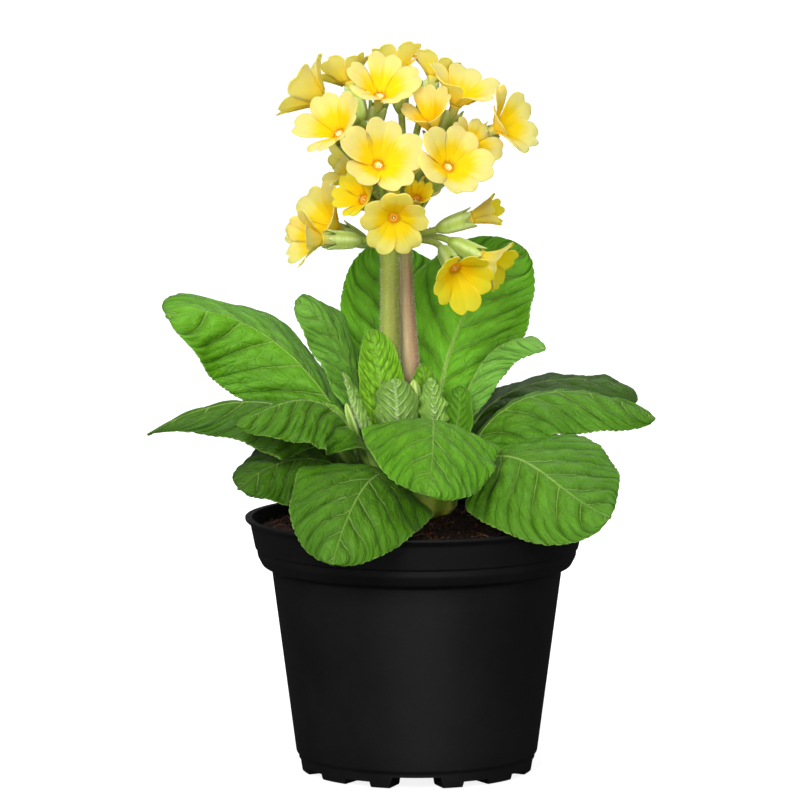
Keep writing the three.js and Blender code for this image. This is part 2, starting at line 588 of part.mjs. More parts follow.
const FLOWERS = [
  // Front of the head.
  { ...WIDE, name: 'flower_01', umbel: 'left', eye: [-13, -29.5, 213], face: [0.18, -0.82, 0.54],
    petal: 15, open: [42, 18] },
  { ...WIDE, name: 'flower_02', umbel: 'right', eye: [10.7, -26.5, 212.2], face: [0.35, -0.76, 0.5],
    petal: 14.4, open: [42, 18], spin: 80 },
  { ...WIDE, name: 'flower_03', umbel: 'left', eye: [-7.7, -38, 195.8], face: [0.05, -0.95, -0.29],
    petal: 12, open: [46, 22], color: PETAL_DEEP },
  { ...CUPPED, name: 'flower_04', umbel: 'left', eye: [-26.5, -15.5, 223], face: [-0.45, -0.62, 0.62],
    petal: 14.8 },
  { ...CUPPED, name: 'flower_05', umbel: 'left', eye: [-12.6, -10, 235.5], face: [0.14, -0.62, 0.78],
    petal: 15.6 },
  // Top of the head.
  { ...BACK, name: 'flower_06', umbel: 'right', eye: [-6.6, 14, 243.5], face: [-0.08, 0.35, 0.93],
    petal: 10.8 },
  { ...BACK, name: 'flower_07', umbel: 'right', eye: [6, 12, 241.5], face: [0.3, 0.3, 0.9],
    petal: 7.8 },
  { ...BACK, name: 'flower_08', umbel: 'left', eye: [-23.4, 15.4, 239.5], face: [-0.3, 0.4, 0.86],
    petal: 9.6, leave: [-0.1, -0.3, 1] },
  { ...CUPPED, name: 'flower_09', umbel: 'left', eye: [-33, 1, 234], face: [-0.8, 0.12, 0.55],
    petal: 14.5, leave: [-0.3, -0.5, 1], spin: 60 },
  { ...CUPPED, name: 'flower_10', umbel: 'right', eye: [14.2, -5, 233], face: [0.32, -0.3, 0.88],
    petal: 14 },
  { ...CUPPED, name: 'flower_11', umbel: 'right', eye: [28.3, -7.8, 222.8], face: [0.76, -0.5, 0.42],
    petal: 13 },
  { ...CUPPED, name: 'flower_12', umbel: 'right', eye: [5, -11.5, 225.5], face: [-0.2, -0.62, 0.75],
    petal: 11.4, open: [66, 46] },
  { ...CUPPED, name: 'flower_13', umbel: 'right', eye: [18, -13, 218], face: [0.5, -0.6, 0.45],
    petal: 8.8, open: [45, 20] },
  { ...BACK, name: 'flower_14', umbel: 'left', eye: [-22, 8, 207], face: [-0.7, 0.1, 0.7], petal: 8 },
  // Half open, low and hanging ones.
  { ...HALF, name: 'flower_15', umbel: 'left', eye: [-18, -22.6, 201], face: [-0.56, -0.76, 0.34],
    petal: 10.2, open: [64, 42] },
  { ...HALF, name: 'flower_16', umbel: 'right', eye: [-0.3, -22, 201], face: [0.15, -0.85, 0.5],
    petal: 7 },
  { ...CUPPED, name: 'flower_17', umbel: 'left', eye: [-28.8, 0.4, 190.2], face: [-0.74, -0.5, 0.44],
    petal: 15 },
  { ...CUPPED, name: 'flower_18', umbel: 'left', eye: [-33.4, -18, 187], face: [-0.9, -0.42, 0.06],
    petal: 12.2, open: [58, 36] },
  { ...HALF, name: 'flower_19', umbel: 'right', eye: [19.7, -8, 194], face: [0.94, -0.12, 0.32],
    petal: 9.5 },
  { ...HALF, name: 'flower_20', umbel: 'right', eye: [13, -22, 177.6], face: [0.32, -0.84, -0.44],
    petal: 14.8, open: [60, 38], tilt: 1.2 },
  { ...HALF, name: 'flower_21', umbel: 'right', eye: [22.8, -9, 180], face: [0.85, -0.28, -0.42],
    petal: 11.4, open: [64, 34], tilt: 1.2 },
  // Back of the head.
  { ...BACK, name: 'flower_22', umbel: 'right', eye: [-20, 27, 211], face: [-0.35, 0.7, 0.6],
    petal: 11.5 },
  { ...BACK, name: 'flower_23', umbel: 'right', eye: [-1, 36, 203], face: [-0.05, 0.95, 0.15],
    petal: 11.5 },
  { ...BACK, name: 'flower_24', umbel: 'right', eye: [11, 28, 210], face: [0.55, 0.82, 0.1], petal: 11 },
  { ...BACK, name: 'flower_25', umbel: 'right', eye: [-6, 28, 190], face: [-0.2, 0.9, -0.35],
    petal: 10, open: [38, 12] },
];

// One flower stem with its hub, its flower stalks and their calyces, grown together.
function makeUmbel(side) {
  const umbel = UMBELS[side];
  const foot = new THREE.Vector3(...umbel.foot);
  const hub = new THREE.Vector3(...umbel.hub);
  const sway = new THREE.Vector3(0, 0, 30);
  const spine = new THREE.CubicBezierCurve3(foot, foot.clone().add(sway), hub.clone().sub(sway), hub);
  let body = bodyOf(stemSkin(spine, umbel.radii, 10, 6));
  const knob = new THREE.SphereGeometry(umbel.radii[1] + 0.9, 10, 6).scale(1, 1, 0.8);
  body = body.add(bodyOf(knob.translate(...umbel.hub)));
  for (const flower of FLOWERS.filter((each) => each.umbel === side)) {
    const calyx = bodyOf(faceLike(calyxSkin(flower), flower));
    body = body.add(calyx).add(bodyOf(stalkSkin(umbel.hub, flower)));
  }
  return geometryOf(body);
}

// The crown, with a plain socket for each flower stem.
function makeCrown() {
  let body = bodyOf(crownShape(0));
  for (const umbel of Object.values(UMBELS)) {
    const [x, y, z] = umbel.foot;
    const socket = new THREE.CylinderGeometry(umbel.radii[0] + 2 * FIT, umbel.radii[0] + 2 * FIT, 20, 10);
    body = body.subtract(bodyOf(socket.rotateX(Math.PI / 2).translate(x, y, z + 10 - FIT)));
  }
  return geometryOf(body);
}

// Flower buds still down among the young leaves.
const BUDS = [
  { name: 'bud_left', foot: [-14.3, -6.2, 100.5], tip: [-24.5, -7.8, 129.5], girth: 2.2 },
  { name: 'bud_right', foot: [-1, -5.5, 104], tip: [-1, -9.5, 140], girth: 2.6 },
];

function makeBud({ foot, tip, girth }) {
  const profile = [[0, 0], [0.8, 0], [0.8, 0.62], [1, 0.66], [girth, 0.78], [girth * 0.8, 0.9], [0, 1]];
  const base = new THREE.Vector3(...foot);
  const axis = new THREE.Vector3(...tip).sub(base);
  const length = axis.length();
  const shape = turned(profile.map(([radius, share]) => [radius, share * length]), 8);
  const turn = new THREE.Quaternion().setFromUnitVectors(new THREE.Vector3(0, 0, 1), axis.normalize());
  const bud = bodyOf(shape.applyQuaternion(turn).translate(...foot));
  return geometryOf(bud.subtract(bodyOf(crownShape(FIT))));
}

// The whole plant.
const plant = new THREE.Group();
plant.name = 'potted_cowslip';
plant.position.x = POT_AXIS_X;

function add(name, geometry, look) {
  const mesh = new THREE.Mesh(geometryOf(bodyOf(geometry)), look);
  mesh.name = name;
  plant.add(mesh);
}

add('pot', makePot(), POT_BLACK);
add('soil', makeSoil(), SOIL_BROWN);
add('crown', makeCrown(), CROWN_GREEN);
add('umbel_left', makeUmbel('left'), STEM_OLIVE);
add('umbel_right', makeUmbel('right'), STEM_ROSE);
for (const leaf of LEAVES) add(leaf.name, makeLeaf(leaf), leaf.color);
for (const flower of FLOWERS) add(flower.name, faceLike(corollaSkin(flower), flower), flower.color);
for (const bud of BUDS) add(bud.name, makeBud(bud), BUD_GREEN);

export default plant;
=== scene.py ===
# The looks of the potted cowslip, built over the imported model: fine leaves, petals, hairs and soil.
# The tables hold millimetres from the pot's axis, as the part's source does; meshes are in metres.
import math
from types import SimpleNamespace

import bpy
import numpy as np
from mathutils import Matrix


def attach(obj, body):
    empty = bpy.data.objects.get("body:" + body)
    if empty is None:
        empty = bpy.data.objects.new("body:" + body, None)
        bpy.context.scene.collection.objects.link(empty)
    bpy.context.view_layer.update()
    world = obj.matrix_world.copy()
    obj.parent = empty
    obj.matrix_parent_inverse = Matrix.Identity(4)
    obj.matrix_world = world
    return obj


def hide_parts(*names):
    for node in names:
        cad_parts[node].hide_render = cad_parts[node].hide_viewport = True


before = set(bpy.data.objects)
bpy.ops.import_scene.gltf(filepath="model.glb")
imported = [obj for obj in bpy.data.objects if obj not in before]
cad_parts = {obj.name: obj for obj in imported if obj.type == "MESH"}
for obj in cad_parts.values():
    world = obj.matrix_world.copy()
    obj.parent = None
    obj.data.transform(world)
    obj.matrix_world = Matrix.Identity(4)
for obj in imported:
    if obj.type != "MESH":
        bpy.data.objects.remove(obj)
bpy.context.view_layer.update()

MM = 0.001
TURN = 2 * math.pi
POT_AXIS = np.array([5.5, 0.0, 0.0])
BODY = "root"


# Numbers and noise
def smooth(x):
    t = np.clip(x, 0.0, 1.0)
    return t * t * (3 - 2 * t)


def blend(a, b, t):
    return a + (b - a) * t


def lattice(ix, iy, seed):
    wave = np.sin(ix * 127.1 + iy * 311.7 + seed * 74.7) * 43758.5453
    return wave - np.floor(wave)


def noise(x, y, seed=0):
    """Smooth noise between -1 and 1."""
    x, y = np.broadcast_arrays(np.asarray(x, float), np.asarray(y, float))
    ix, iy = np.floor(x), np.floor(y)
    fx, fy = smooth(x - ix), smooth(y - iy)
    low = blend(lattice(ix, iy, seed), lattice(ix + 1, iy, seed), fx)
    high = blend(lattice(ix, iy + 1, seed), lattice(ix + 1, iy + 1, seed), fx)
    return 2 * blend(low, high, fy) - 1


def cells(x, y, seed=0):
    """How far inside its cell a point lies: 0 on the line between two cells."""
    ix, iy = np.floor(x), np.floor(y)
    first = np.full(x.shape, 9.0)
    second = np.full(x.shape, 9.0)
    for dx in (-1, 0, 1):
        for dy in (-1, 0, 1):
            cx, cy = ix + dx, iy + dy
            px = cx + 0.15 + 0.7 * lattice(cx, cy, seed)
            py = cy + 0.15 + 0.7 * lattice(cy, cx, seed + 3)
            far = np.hypot(px - x, py - y)
            second = np.minimum(second, np.maximum(first, far))
            first = np.minimum(first, far)
    return second - first


def linear(hexcode):
    """A display colour as linear light."""
    parts = np.array([int(hexcode[i : i + 2], 16) for i in (0, 2, 4)]) / 255
    return np.where(parts <= 0.04045, parts / 12.92, ((parts + 0.055) / 1.055) ** 2.4)


def unit(v):
    return v / np.maximum(np.linalg.norm(v, axis=-1, keepdims=True), 1e-12)


def round_angles(sides):
    return np.arange(sides) * TURN / sides


def ring(radius, angle, height):
    """Points about the upright axis."""
    return np.stack(np.broadcast_arrays(radius * np.cos(angle), radius * np.sin(angle), height), -1)


def bezier(control, u):
    """Points and directions of a cubic curve."""
    c = np.asarray(control, float)
    u = np.asarray(u, float)[..., None]
    v = 1 - u
    point = v**3 * c[0] + 3 * v * v * u * c[1] + 3 * v * u * u * c[2] + u**3 * c[3]
    slope = v * v * (c[1] - c[0]) + 2 * v * u * (c[2] - c[1]) + u * u * (c[3] - c[2])
    return point, unit(slope)


def curve_through(points):
    """A cubic curve through its root, one third, two thirds and tip."""
    a, b, c, d = np.asarray(points, float)
    first = -5 / 6 * a + 3 * b - 1.5 * c + d / 3
    last = -5 / 6 * d + 3 * c - 1.5 * b + a / 3
    return np.array([a, first, last, d])


def turn_to(facing):
    """The smallest turn that takes +Z to a direction."""
    x, y, z = unit(np.asarray(facing, float))
    cross = np.array([[0, 0, x], [0, 0, y], [-x, -y, 0]])
    return np.eye(3) + cross + cross @ cross / (1 + z)


# Meshes
class Body:
    """Closed shells that become one piece. Each point has a tint (linear colour), a place on its
    surface that patterns follow, and marks: under, then two that are the material's own."""

    def __init__(self):
        self.points, self.quads, self.tris, self.count = [], [], [], 0
        self.looks = {"tint": [], "place": [], "marks": []}

    def add(self, points, quads=(), tris=(), tint=(1, 1, 1), place=(0, 0, 0), marks=(0, 0, 0)):
        points = np.asarray(points, float).reshape(-1, 3)
        for name, value in (("tint", tint), ("place", place), ("marks", marks)):
            self.looks[name].append(np.broadcast_to(np.asarray(value, float).reshape(-1, 3), points.shape))
        self.points.append(points)
        self.quads.append(np.asarray(quads, int).reshape(-1, 4) + self.count)
        self.tris.append(np.asarray(tris, int).reshape(-1, 3) + self.count)
        self.count += len(points)

    def shell(self, upper, thick, up, low, place=(0, 0, 0), marks=(0, 0, 0)):
        """A sheet with a thickness: upper is a grid of points, and its lower face lies below it. The
        faces have tints of their own, up and low."""
        rows, columns = upper.shape[:2]
        below = rows * columns
        normal = unit(np.cross(np.gradient(upper, axis=1), np.gradient(upper, axis=0)))
        lower = upper - normal * np.broadcast_to(thick, (rows, columns))[..., None]
        index = np.arange(below).reshape(rows, columns)
        top = np.stack([index[:-1, :-1], index[:-1, 1:], index[1:, 1:], index[1:, :-1]], -1).reshape(-1, 4)
        rim = np.concatenate([index[0, :-1], index[:-1, -1], index[-1, :0:-1], index[:0:-1, 0]])
        after = np.roll(rim, -1)
        side = np.stack([after, rim, rim + below, after + below], -1)
        up, low, place, marks = (
            np.broadcast_to(value, upper.shape).reshape(-1, 3) for value in (up, low, place, marks)
        )
        self.add(
            np.concatenate([upper.reshape(-1, 3), lower.reshape(-1, 3)]),
            np.concatenate([top, top[:, ::-1] + below, side]),
            tint=np.concatenate([up, low]),
            place=np.concatenate([place, place]),
            marks=np.concatenate([marks, marks + (1, 0, 0)]),
        )

    def rings(self, rings, **looks):
        """Rings of points joined one to the next, closed by a middle point at each end."""
        count, sides = rings.shape[:2]
        index = np.arange(count * sides).reshape(count, sides)
        nearer, farther = index[:-1], index[1:]
        quads = np.stack([nearer, np.roll(nearer, -1, 1), np.roll(farther, -1, 1), farther], -1)
        for name, value in looks.items():
            if np.ndim(value) == 3:
                value = np.broadcast_to(value, rings.shape).reshape(-1, 3)
                looks[name] = np.concatenate([value, value[:1], value[-1:]])
        points = np.concatenate([rings.reshape(-1, 3), [rings[0].mean(0), rings[-1].mean(0)]])
        start, end = index[0], index[-1]
        tris = np.concatenate([
            np.stack([np.roll(start, -1), start, np.full(sides, count * sides)], -1),
            np.stack([end, np.roll(end, -1), np.full(sides, count * sides + 1)], -1),
        ])
        self.add(points, quads, tris, **looks)

    def mesh(self, name, rounded=True):
        made = bpy.data.meshes.new(name)
        points = (np.concatenate(self.points) + POT_AXIS) * MM
        quads, tris = np.concatenate(self.quads), np.concatenate(self.tris)
        corners = np.concatenate([quads.reshape(-1), tris.reshape(-1)])
        starts = np.concatenate([np.arange(len(quads)) * 4, len(quads) * 4 + np.arange(len(tris)) * 3])
        made.vertices.add(len(points))
        made.vertices.foreach_set("co", points.astype(np.float32).reshape(-1))
        made.loops.add(len(corners))
        made.loops.foreach_set("vertex_index", corners.astype(np.int32))
        made.polygons.add(len(starts))
        made.polygons.foreach_set("loop_start", starts.astype(np.int32))
        made.update(calc_edges=True)
        made.polygons.foreach_set("use_smooth", np.full(len(starts), rounded))
        return made

    def piece(self, node, material):
        """The finished object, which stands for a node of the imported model."""
        name = node + "_fine"
        mesh = self.mesh(name)
        for label, values in self.looks.items():
            values = np.concatenate(values)
            kind, field = "FLOAT_VECTOR", "vector"
            if label == "tint":
                kind, field = "FLOAT_COLOR", "color"
                values = np.column_stack([values, np.ones(len(values))])
            layer = mesh.attributes.new(label, kind, "POINT")
            layer.data.foreach_set(field, values.astype(np.float32).reshape(-1))
        mesh.validate()
        mesh.materials.append(material)
        made = bpy.data.objects.new(name, mesh)
        bpy.context.scene.collection.objects.link(made)
        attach(made, BODY)
        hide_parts(node)
        return made


def tube(body, path, radius, sides, tint):
    """A round stem along a path of points."""
    path = np.asarray(path, float)
    ahead = unit(np.gradient(path, axis=0))
    normal = np.cross(ahead[0], [0.31, 0.9, 0.2])
    angle = round_angles(sides)[:, None]
    rings = []
    for centre, forward, size in zip(path, ahead, np.broadcast_to(radius, len(path))):
        normal = unit(normal - forward * (normal @ forward))
        other = np.cross(forward, normal)
        rings.append(centre + size * (np.cos(angle) * normal + np.sin(angle) * other))
    body.rings(np.array(rings), tint=tint)


def turned(profile, sides, shaped=None):
    """Rings of a profile of (radius, height) about the upright axis; shaped gives other radii."""
    profile, angle = np.asarray(profile, float), round_angles(sides)
    radius = shaped(profile, angle) if shaped else profile[:, :1]
    return ring(radius, angle, profile[:, 1:2])


def hairs(body, roots, outward, rng, length, radius, tint):
    """Short straight hairs, each a three-sided spike."""
    count = len(roots)
    lean = unit(outward + rng.normal(0, 0.28, (count, 3)))
    side = unit(np.cross(lean, rng.normal(0, 1, (count, 3))))
    other = np.cross(lean, side)
    reach = (length * rng.uniform(0.6, 1.15, count))[:, None]
    base = roots - outward * 0.05
    corners = [base + radius * (math.cos(a) * side + math.sin(a) * other) for a in round_angles(3)]
    points = np.stack([*corners, roots + lean * reach], 1)
    first = np.arange(count)[:, None] * 4
    tris = np.concatenate([first + face for face in ((0, 1, 3), (1, 2, 3), (2, 0, 3), (2, 1, 0))])
    body.add(points, tris=tris, tint=tint, marks=(0, 1, 0))


# Materials
class Nodes:
    """A node tree, written as sums of its patterns."""

    def __init__(self, tree):
        self.tree = tree

    def put(self, socket, value):
        if isinstance(value, bpy.types.NodeSocket):
            self.tree.links.new(value, socket)
        else:
            socket.default_value = (*value, 1.0) if socket.type == "RGBA" else value

    def node(self, kind, inputs=None, out=0, **settings):
        made = self.tree.nodes.new("ShaderNode" + kind)
        for key, value in settings.items():
            setattr(made, key, value)
        for key, value in (inputs or {}).items():
            self.put(made.inputs[key], value)
        return made.outputs[out]

    def attribute(self, name, out="Vector"):
        return self.node("Attribute", out=out, attribute_name=name)

    def parts(self, vector):
        return self.node("SeparateXYZ", {0: vector}).node.outputs

    def joined(self, x, y, z):
        return self.node("CombineXYZ", {0: x, 1: y, 2: z})

    def math(self, operation, a, b):
        return self.node("Math", {0: a, 1: b}, operation=operation)

    def mul(self, a, b):
        return self.math("MULTIPLY", a, b)

    def plus(self, a, b):
        return self.math("ADD", a, b)

    def larger(self, a, b):
        return self.math("MAXIMUM", a, b)

    def band(self, value, low, high, to_low=0.0, to_high=1.0):
        """A soft step from one value to another."""
        inputs = {"Value": value, "From Min": low, "From Max": high, "To Min": to_low, "To Max": to_high}
        return self.node("MapRange", inputs, interpolation_type="SMOOTHSTEP")

    def fall(self, value, low, high):
        return self.band(value, low, high, 1.0, 0.0)

    def mix(self, factor, a, b, mode="MIX"):
        return self.node("Mix", {0: factor, 6: a, 7: b}, 2, data_type="RGBA", blend_type=mode)

    def times(self, colour, share):
        return self.mix(1.0, colour, share, "MULTIPLY")

    def noise(self, vector, scale, detail=2.0, rough=0.5):
        inputs = {"Vector": vector, "Scale": scale, "Detail": detail, "Roughness": rough}
        return self.node("TexNoise", inputs)

    def voronoi(self, vector, scale, feature="DISTANCE_TO_EDGE"):
        return self.node("TexVoronoi", {"Vector": vector, "Scale": scale}, feature=feature)

    def position(self):
        return self.node("TexCoord", out="Object")


class Look(Nodes):
    """A node material, with settings for its shader's own sockets."""

    def __init__(self, name, **settings):
        self.material = bpy.data.materials.new(name)
        self.material.use_nodes = True
        super().__init__(self.material.node_tree)
        self.sockets = self.tree.nodes["Principled BSDF"].inputs
        for socket, value in settings.items():
            self.put(self.sockets[socket.replace("_", " ")], value)

    def finish(self, colour, rough=None, height=None, distance=None, strength=None):
        self.put(self.sockets["Base Color"], colour)
        if height is not None:
            self.put(self.sockets["Roughness"], rough)
            inputs = {"Height": height, "Distance": distance, "Strength": strength}
            self.put(self.sockets["Normal"], self.node("Bump", inputs))
        return self.material


# Leaves
STALK_HALF_WIDTH, STALK_THICK, BLADE_THICK = 2.7, 2.3, 0.62
STALK_CHANNEL = 34
VEIN_SLANT = 0.836
# The noises of one leaf have seeds up to 8 past its own.
LEAF_SEED_STEP = 11.0
CROWN_RADII, CROWN_HEIGHTS = np.array(
    [[11, 83], [13, 88], [16.3, 92.5], [17, 97.5], [15.5, 103], [10.5, 108], [0, 109.5]]
).T
CROWN_MIDDLE = np.array([-2.5, 0.0])
CROWN_FLATTEN = 17 / 12
# The bloom colours are the leaves' own paler tone, and also a painted sheen on the puffs.
LEAF_TINT, LEAF_BLOOM_AND_SHEEN = linear("528a10"), linear("86b365")
YOUNG_TINT, YOUNG_BLOOM_AND_SHEEN = linear("78b022"), linear("9cc25c")


def crown_radius(height):
    return np.interp(height, CROWN_HEIGHTS, CROWN_RADII, left=0, right=0)


def leaf_start(control):
    """Where a midrib comes out of the crown."""
    u = np.linspace(0, 0.5, 101)
    point = bezier(control, u)[0]
    off = (point[:, :2] - CROWN_MIDDLE) * (1, CROWN_FLATTEN)
    inside = np.nonzero(crown_radius(point[:, 2]) - np.hypot(*off.T) > 1.2)[0]
    return u[inside[-1]] if len(inside) else 0.0


def blade_share(leaf, u):
    """The outline: a narrow stalk, then out to the full width, and round to the tip."""
    least = STALK_HALF_WIDTH / max(leaf.half, 3.2)
    body = blend(least, 1.0, smooth((u - leaf.stalk) / (leaf.widest - leaf.stalk)))
    beyond = np.clip((u - leaf.widest) / (1 - leaf.widest), 0, 1)
    outer = body * np.maximum(0.0, 1 - beyond ** leaf.end[0]) ** leaf.end[1]
    return np.where(u <= leaf.widest, body, np.maximum(0.03, outer))


def blade_grid(leaf, control):
    """The grid of a blade: along from the crown to the tip, and across from -1 to 1."""
    rows, columns = leaf.grid
    start = leaf_start(control)
    along = start + (1 - start) * (1 - (1 - np.arange(rows + 1) / rows) ** 1.2)
    step = np.linspace(-1, 1, columns + 1)
    along, across = np.meshgrid(along, np.sign(step) * np.abs(step) ** 1.25, indexing="ij")
    reach = np.abs(across)
    # The grid's rows slant towards the tip, as the side veins do.
    u = np.minimum(1.0, along + VEIN_SLANT * reach * along * (1 - along))
    length = np.linalg.norm(np.diff(bezier(control, np.linspace(0, 1, 40))[0], axis=0), axis=1).sum()
    share, opened = blade_share(leaf, u), smooth((u - leaf.stalk * 0.5) / 0.25)
    # Relief and teeth die away towards the very tip.
    calm = smooth((1 - along) / 0.05) * smooth((share - 0.08) / 0.3)
    return SimpleNamespace(
        along=along, across=across, reach=reach, sign=np.sign(across), right=across > 0, u=u,
        run=u * length, share=share, opened=opened, calm=calm,
    )


def midrib_frame(leaf, control, u):
    """Points of the midrib, with the directions to its side and up from the blade."""
    middle, ahead = bezier(control, u)
    span = control[3] - control[0]
    heading = math.atan2(span[1], span[0]) if leaf.heading is None else math.radians(leaf.heading)
    side = np.array([math.sin(heading), -math.cos(heading), 0.0])
    side = unit(side - ahead * (ahead @ side)[..., None])
    up = unit(np.cross(side, ahead))
    roll = np.radians(blend(*leaf.roll, smooth(u)))[..., None]
    side, up = side * np.cos(roll) + up * np.sin(roll), up * np.cos(roll) - side * np.sin(roll)
    # The tip nods.
    nod = leaf.drop * smooth((u - 0.8) / 0.2) ** 2
    return middle - up * nod[..., None], side, up


def scalloped(leaf, at, seed):
    """The blade's half width, out to an unevenly scalloped margin."""
    scallop = at.run / leaf.scallop + 0.45 * noise(at.run / 6, at.sign * 7, seed)
    uneven = 0.6 * noise(at.run / 9, at.sign * 3, seed + 2)
    teeth = leaf.teeth * (1.2 * np.abs(np.sin(math.pi * scallop)) ** 0.7 - 0.7 + uneven)
    half = leaf.half * at.share * (1 + leaf.skew * at.across)
    return half + teeth * at.opened * at.calm * at.reach**6


def puffs(leaf, at, seed):
    """How the blade puffs up between its side veins, and between the finer ones; also the count of
    side veins up to each point."""
    vein = at.along * leaf.pairs + np.where(at.right, 0.3, 0.0) - 0.95 * at.reach**2 * at.along
    vein = vein + 0.1 * noise(at.along * 5, at.reach * 3 + at.sign * 9, seed + 5)
    panel = np.abs(vein - np.round(vein)) * 2
    pillow = (panel * (2 - panel)) ** 0.75
    # Out towards the margin each side vein forks, and the puffs halve.
    forked = 1 - (1 - np.abs(2 * vein - np.round(2 * vein)) * 2) ** 2
    pillow = blend(pillow, 0.45 * pillow + 0.5 * forked, smooth((at.reach - 0.45) / 0.35))
    swell = 0.75 + 0.4 * noise(vein * 0.5, at.reach * 2 + at.sign * 5, seed + 6)
    small = smooth(cells(vein * leaf.net, at.across * at.half / leaf.cell + 40, seed) / 0.6)
    envelope = smooth(at.reach / 0.13) * (0.3 + 0.7 * smooth((1.05 - at.reach) / 0.4))
    return ((pillow - 0.7) * swell + leaf.small * (small - 0.6)) * envelope, vein


def blade_lift(leaf, at, seed):
    """How far the blade stands off the plain curled sheet."""
    wave = np.sin(TURN * (leaf.waves * at.u + np.where(at.right, 0.15, 0.6)))
    wave = wave + 0.45 * noise(at.run / 7, at.sign * 4, seed + 4)
    lift = leaf.ripple * wave * at.reach**3 * at.opened * at.share
    lift = lift + leaf.puff * at.crest * at.opened * at.calm
    sway = noise(at.run / 17, at.across * at.half / 13 + 3, seed + 7)
    lift = lift + leaf.sway * sway * at.opened * at.reach * at.calm
    # The midrib is a cord in a groove.
    cord = 0.55 * np.exp(-(at.near**2)) - 0.35 * np.exp(-((at.near * 2.4) ** 2))
    return lift - cord * at.opened * (1 - at.along * 0.6)


def leaf_surface(leaf, seed):
    """The upper face of a blade as a grid of points, and what its pattern needs."""
    control = curve_through(leaf.midrib)
    at = blade_grid(leaf, control)
    middle, side, up = midrib_frame(leaf, control, at.u)
    at.half = scalloped(leaf, at, seed)
    # The stalk is a channel, and the fold of the blade opens out towards the tip.
    fold = leaf.fold * at.opened * (1 - 0.7 * smooth((at.u - 0.78) / 0.22))
    fold = np.radians(fold + STALK_CHANNEL * (1 - at.opened))
    curl = np.radians(leaf.curl) * at.opened + 1e-4
    angle = fold + curl * at.reach
    sideways = at.half * (np.sin(angle) - np.sin(fold)) / curl
    upwards = at.half * (np.cos(fold) - np.cos(angle)) / curl
    normal = up * np.cos(angle)[..., None] - side * (at.sign * np.sin(angle))[..., None]
    at.near = np.abs(sideways) / (0.4 + 1.15 * (1 - at.along)) / leaf.rib
    at.crest, at.vein = puffs(leaf, at, seed)
    point = middle + side * (at.sign * sideways)[..., None] + up * upwards[..., None]
    return point + normal * blade_lift(leaf, at, seed)[..., None], at


def make_leaf(leaf, seed, material):
    upper, at = leaf_surface(leaf, seed)
    thick = blend(STALK_THICK, BLADE_THICK, smooth(at.opened * 1.1))
    thick = thick * (1 - 0.55 * smooth((at.reach - 0.5) / 0.5) * at.opened)
    # The midrib stands out below as a keel, and the side veins as ridges.
    keel = (1.5 * (1 - at.along) ** 1.1 + 0.3) * np.exp(-((at.near * 0.9) ** 2))
    ridge = 0.28 * (1 - smooth(np.abs(at.vein - np.round(at.vein)) / 0.13)) * smooth((0.9 - at.reach) / 0.6)
    thick = (thick + keel * blend(0.3, 1, at.calm) + ridge * at.opened) * leaf.gauge
    # Painted shade: deep green in the furrows. Painted highlight and sheen: paler and greyer on the puffs.
    crest = smooth(0.55 + 0.75 * at.crest)[..., None]
    tone = 1 + 0.12 * noise(at.along * 3, at.across * 2, seed + 8)[..., None]
    above = blend(leaf.tint * blend(0.62, 1.14, crest) * tone, leaf.bloom, leaf.pale + 0.06 * crest * crest)
    below = blend(leaf.tint, leaf.bloom, 0.2) * tone
    place = np.stack([at.vein, at.across * at.half, at.near], -1)
    marks = np.stack([np.zeros(at.u.shape), at.reach, at.opened], -1)
    body = Body()
    # The leaf's shade scales both faces: partly its own tone, partly painted light and painted shade.
    body.shell(upper, thick, above * leaf.shade, below * leaf.shade, place, marks)
    body.piece(leaf.name, material)


# Lengths in millimetres, angles in degrees. Half is half the width and widest the place of it; end
# shapes the tip; waves and ripple are those of the margin; puff, small and sway those of the blade;
# pairs counts the side veins, and net and cell set the finer ones; teeth and scallop are the depth and
# length of the margin's scallops; gauge scales the thickness, and rib the width of the midrib. Shade
# scales the leaf's colours: partly its own tone, partly painted light and painted shade for how much
# light reaches the leaf.
LARGE = dict(
    half=23, stalk=0.16, widest=0.62, end=(2.3, 0.5), skew=0, heading=None, fold=-6, curl=-14,
    roll=(0, 0), drop=0.8, waves=4, ripple=1.5, puff=1.7, small=0.3, sway=0.7, pairs=8, net=1.6,
    cell=6.2, teeth=0.4, scallop=2.9, gauge=1.0, rib=1.0, grid=(170, 52), tint=LEAF_TINT,
    bloom=LEAF_BLOOM_AND_SHEEN, pale=0.0, shade=1.0, slot="leaf",
)
MIDDLE = dict(LARGE, half=15, ripple=1.2, puff=1.3, grid=(72, 30), cell=4.6)
SMALL = dict(
    LARGE, half=6, stalk=0.1, widest=0.55, ripple=0.5, puff=0.36, small=0.2, sway=0.25, pairs=11,
    net=1.5, cell=1.9, teeth=0.24, scallop=1.5, gauge=0.8, fold=12, curl=18, grid=(76, 30),
    tint=YOUNG_TINT, bloom=YOUNG_BLOOM_AND_SHEEN, slot="leaf_young",
)


def leaf_row(size, name, midrib, **changes):
    """A leaf, whose midrib has its root, points one and two thirds of the way along it, and its tip."""
    return SimpleNamespace(**dict(size, name="leaf_" + name, midrib=midrib, **changes))


